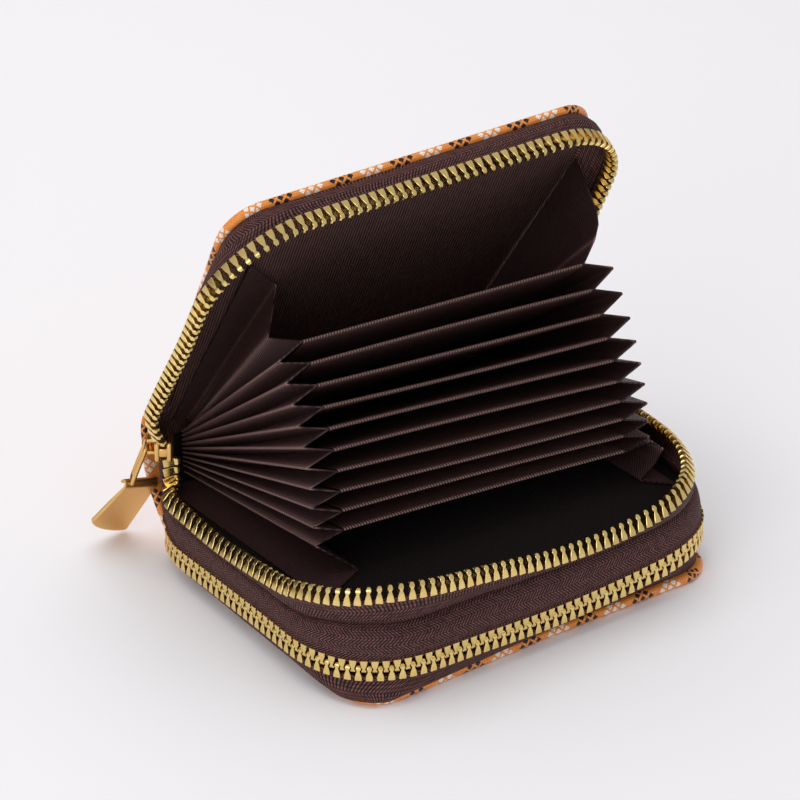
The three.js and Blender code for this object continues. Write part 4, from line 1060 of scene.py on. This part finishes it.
LID_FLAPS = {
    -1: (lid_line((-50.5, 6, 3.4), (-43, 64, 3.6)), lid_line((-48.5, 5.5, 3.4), (-37, 57.1, 3.6)),
         lid_line((-46, 5, 3.5), (-32.7, 52.3, 3.7)), lid_line((-45, 3.4, 4.4), (-37.4, 52.4, 10))),
    1: (lid_line((39, 6, 3.4), (53.1, 64.7, 3.4)), lid_line((40, 5.6, 4.2), (51.2, 64.2, 11)),
        lid_line((41, 4.6, 5), (49.6, 63.3, 19)), lid_line((41.3, 3.4, 5.4), (48, 62.7, 22.3))),
}
PAGE_FLAPS = {
    -1: lid_line((-46.5, 2.8, 5.3), (-43, 52.1, 17)),
    1: lid_line((41.2, 1.5, 5.9), (45.5, 61.1, 25.3)),
}
FLOOR_FLAPS = {
    -1: (line((-47.9, 45, 21.5), (-47.9, -14.3, 30.2)), line((-40.8, 40, 19.3), (-35.6, -14.8, 19.3)),
         line((-47, 43, 19.3), (-43, -18.3, 19.3)), line((-53.5, 43, 19.3), (-50, -21.5, 19.3))),
    1: (line((46.5, 45, 21.8), (49, -19.5, 28.8)), line((47.5, 45, 21.4), (50.5, -22.5, 27.5)),
        line((46, 42, 20.4), (48.5, -22, 23.5)), line((41, 38.5, 19.3), (44.9, -20.7, 19.3)),
        line((49, 37, 19.3), (51.3, -27.3, 19.3))),
}
print("lines of the floor flaps:", len(FLOOR_FLAPS[-1]), "left,", len(FLOOR_FLAPS[1]), "right")

# %% Flaps of the gussets
for side, hand in ((-1, "left"), (1, "right")):
    top = valley(PAGES - 1, side)
    # The left lid flap's outer fold is painted pale: wear and a painted highlight.
    worn_and_highlit = (2,) if side < 0 else ()
    made, flat = pleat(hand + "_pleat_00_lid", LID_FLAPS[side], worn_and_highlit)
    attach(made, "lid")
    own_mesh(made)
    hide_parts(hand + "_gusset")
    print(made.name, "cut", [round(c, 1) for c in flat], "mm")
    lines = (top, PAGE_FLAPS[side], LID_FLAPS[side][3])
    made, flat = pleat(hand + "_pleat_00_page", lines, (1,))
    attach(made, "page_01_body")
    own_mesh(made)
    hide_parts(hand + "_gusset")
    print(made.name, "cut", [round(c, 1) for c in flat], "mm")
    lines = (valley(0, side),) + FLOOR_FLAPS[side]
    made, flat = pleat(hand + "_pleat_10", lines, (1,) if side < 0 else (1, 2))
    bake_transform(made)
    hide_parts(hand + "_gusset")
    print(made.name, "cut", [round(c, 1) for c in flat], "mm")

# %% [markdown]
# ## Sliders, ring and pulls
# A slider is a casting of two plates on a post, with a strap that holds the pull. The wire ring hangs
# on the strap and the tab hangs on the ring by its rolled head, so both can swing. All edges are
# round, because they are cast or tumbled. Blocks with a bevel modifier would do, and the stop and the
# lower tab, which are small, are made so. The others are lofts of rounded loops.

# %% Cast blocks
def pad(middle, half, ease):
    """A block with round edges: loops of points along X, as (x, y, z)."""
    loops = []
    for end, rise, inset in ((-1, 0, 1), (-1, 0.3, 0.3), (-1, 1, 0), (1, 1, 0), (1, 0.3, 0.3), (1, 0, 1)):
        wide, high = half[1] - inset * ease, half[2] - inset * ease
        corner = 0.4 * min(wide, high)
        loop = []
        for a in np.radians([0, 30, 60, 90, 90, 120, 150, 180, 180, 210, 240, 270, 270, 300, 330, 360]):
            y_side = 1 if len(loop) < 4 or len(loop) > 11 else -1
            z_side = 1 if len(loop) < 8 else -1
            loop.append((end * (half[0] - rise * ease), y_side * (wide - corner) + corner * cos(a),
                         z_side * (high - corner) + corner * sin(a)))
        loops.append(loop)
    return np.array(loops) + middle


def casting(name, blocks, origin, axes, body, cad):
    """Blocks drawn about a point and joined in one piece."""
    points, faces = [], []
    for block in blocks:
        first = sum(len(part) for part in points)
        points.append(np.array(origin) + block.reshape(-1, 3) @ np.array(axes))
        faces += [tuple(first + v for v in face) for face in loft_faces(*block.shape[:2])]
    made = piece(name, np.concatenate(points), faces, pale_gold, crease=50)
    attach(made, body)
    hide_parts(cad)
    return made


print("points on a block:", pad((0, 0, 0), (1, 1, 1), 0.2).size // 3)

# %% Sliders
SLIDER_TURN = radians(-34.8)
side_on = np.array([(cos(SLIDER_TURN), sin(SLIDER_TURN), 0), (-sin(SLIDER_TURN), cos(SLIDER_TURN), 0),
                    (0, 0, 1)])
plates = [pad((x, 0, 0), (0.7, 3.2, 2.9), 0.45) for x in (-1.5, 1.5)]
plates.append(pad((0, -1.8, 0), (1.4, 1.3, 1.25), 0.3))
strap_up = [pad((-2.9, 2.2, z), (1.3, 2.2, 0.45), 0.2) for z in (-1.7, 1.7)]
strap_up.append(pad((-3.8, 3.9, 0), (0.45, 0.7, 2.1), 0.2))
strap_along = [block[:, :, [0, 2, 1]] - [0, 0, 2.2] for block in strap_up]
casting("upper_slider_casting", plates + strap_up, (-55.6, 40.8, 33.1), side_on,
        "upper_slider_body", "upper_slider")
casting("lower_slider_casting", plates + strap_along, (58.25, 36.5, 8.3), np.diag([-1, -1, 1]),
        "lower_slider_body", "lower_slider")
print("blocks in a slider:", len(plates + strap_up))

# %% Pull ring
RING_AT, RING_TILT = (-56.57, 46.16, 31.4), radians(20.5)
RING_LONG, RING_HALF, RING_BEND, RING_WIRE = 11.6, 2.5, 1.5, 0.58
hang = -sin(RING_TILT) * side_on[0] - cos(RING_TILT) * side_on[2]
flat_out = np.cross(hang, side_on[1])
RING_STEPS, WIRE_SIDES = 32, 12
ring_loops = []
for step in range(RING_STEPS):
    a = 2 * pi * step / RING_STEPS
    end = RING_LONG - RING_BEND if 8 <= step < 24 else RING_BEND
    across = (RING_HALF - RING_BEND) * np.sign(cos(a + pi / 2 + 0.01))
    spoke = cos(a) * -hang + sin(a) * -side_on[1]
    middle = np.array(RING_AT) - 0.6 * side_on[0] + 0.6 * side_on[2] + end * hang + across * side_on[1]
    ring_loops.append([middle + spoke * (RING_BEND + RING_WIRE * cos(b)) + flat_out * RING_WIRE * sin(b)
                       for b in np.linspace(0, 2 * pi, WIRE_SIDES + 1)[:-1]])
ring_faces = loft_faces(RING_STEPS, WIRE_SIDES, True)
pull_ring = piece("upper_ring_wire", ring_loops, ring_faces, pale_gold)
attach(pull_ring, "upper_ring")
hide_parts("upper_pull_ring")
print("ring is", RING_LONG, "mm long")

# %% Pull tab
TAB_ACROSS, TAB_DOWN = unit(np.array([0.971, -0.037, -0.224])), unit(np.array([-0.174, 0.543, -0.823]))
TAB_OUT = unit(np.cross(TAB_ACROSS, TAB_DOWN))
TAB_OUT = TAB_OUT * np.sign(TAB_OUT @ toward)
TAB_AT = np.array([-59.11, 47.92, 21.26]) + 2.5 * toward
TAB_HALF, HEAD_DOWN, HEAD_BACK, HEAD_OUTER, HEAD_INNER = 0.65, 2.7, 0.75, 1.3, 0.6


def head_arc(radius, turns):
    """Part of the tab's rolled head, as (down, out) points."""
    return [(HEAD_DOWN - radius * sin(a), radius * cos(a) - HEAD_BACK) for a in np.radians(turns)]


tab_loops = []
for s in np.concatenate([[-1, -0.985, -0.95], np.linspace(-0.85, 0.85, 13), [0.95, 0.985, 1]]):
    thick = TAB_HALF * min(1.0, 0.45 + 11 * (1 - abs(s)))
    low = 21.2 + 2.7 * s + 2.5 * (1 - s * s) ** 0.5
    outer = [(low - 0.25, thick - TAB_HALF), (low - 0.5, thick - 0.2), (11.0, thick - 0.1),
             (3.0, thick - 0.1)]
    inner = [(11.0, -thick), (low - 0.5, -thick), (low - 0.25, -0.2)]
    section = (outer + head_arc(HEAD_OUTER, [0, 35, 70, 105, 140, 175, 205])
               + head_arc(HEAD_INNER, [205, 150, 100, 50, 0]) + inner)
    tab_loops.append([TAB_AT + b * TAB_DOWN + n * TAB_OUT
                      + (2.2 - 0.025 * b + s * 4.4 * (1 + 0.0225 * b)) * TAB_ACROSS for b, n in section])
pull_tab = loft("upper_tab_casting", tab_loops, pale_gold)
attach(pull_tab, "upper_tab")
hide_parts("upper_pull_tab")
print("tab is made of", len(tab_loops), "loops")

# %% Zip stop and lower tab
for name, width in (("upper_zip_stop", 0.4), ("lower_pull_tab", 0.2)):
    made = frame["nodes"][name]
    made.data.materials.clear()
    made.data.materials.append(pale_gold)
    edge = made.modifiers.new("cast_edge", "BEVEL")
    edge.width = width * MM
    edge.segments = 2
    edge.limit_method = "ANGLE"
    edge.angle_limit = radians(40)
    print(name, "has edges rounded by", width, "mm")

# %% [markdown]
# ## End

# %% End
print("model dressed")
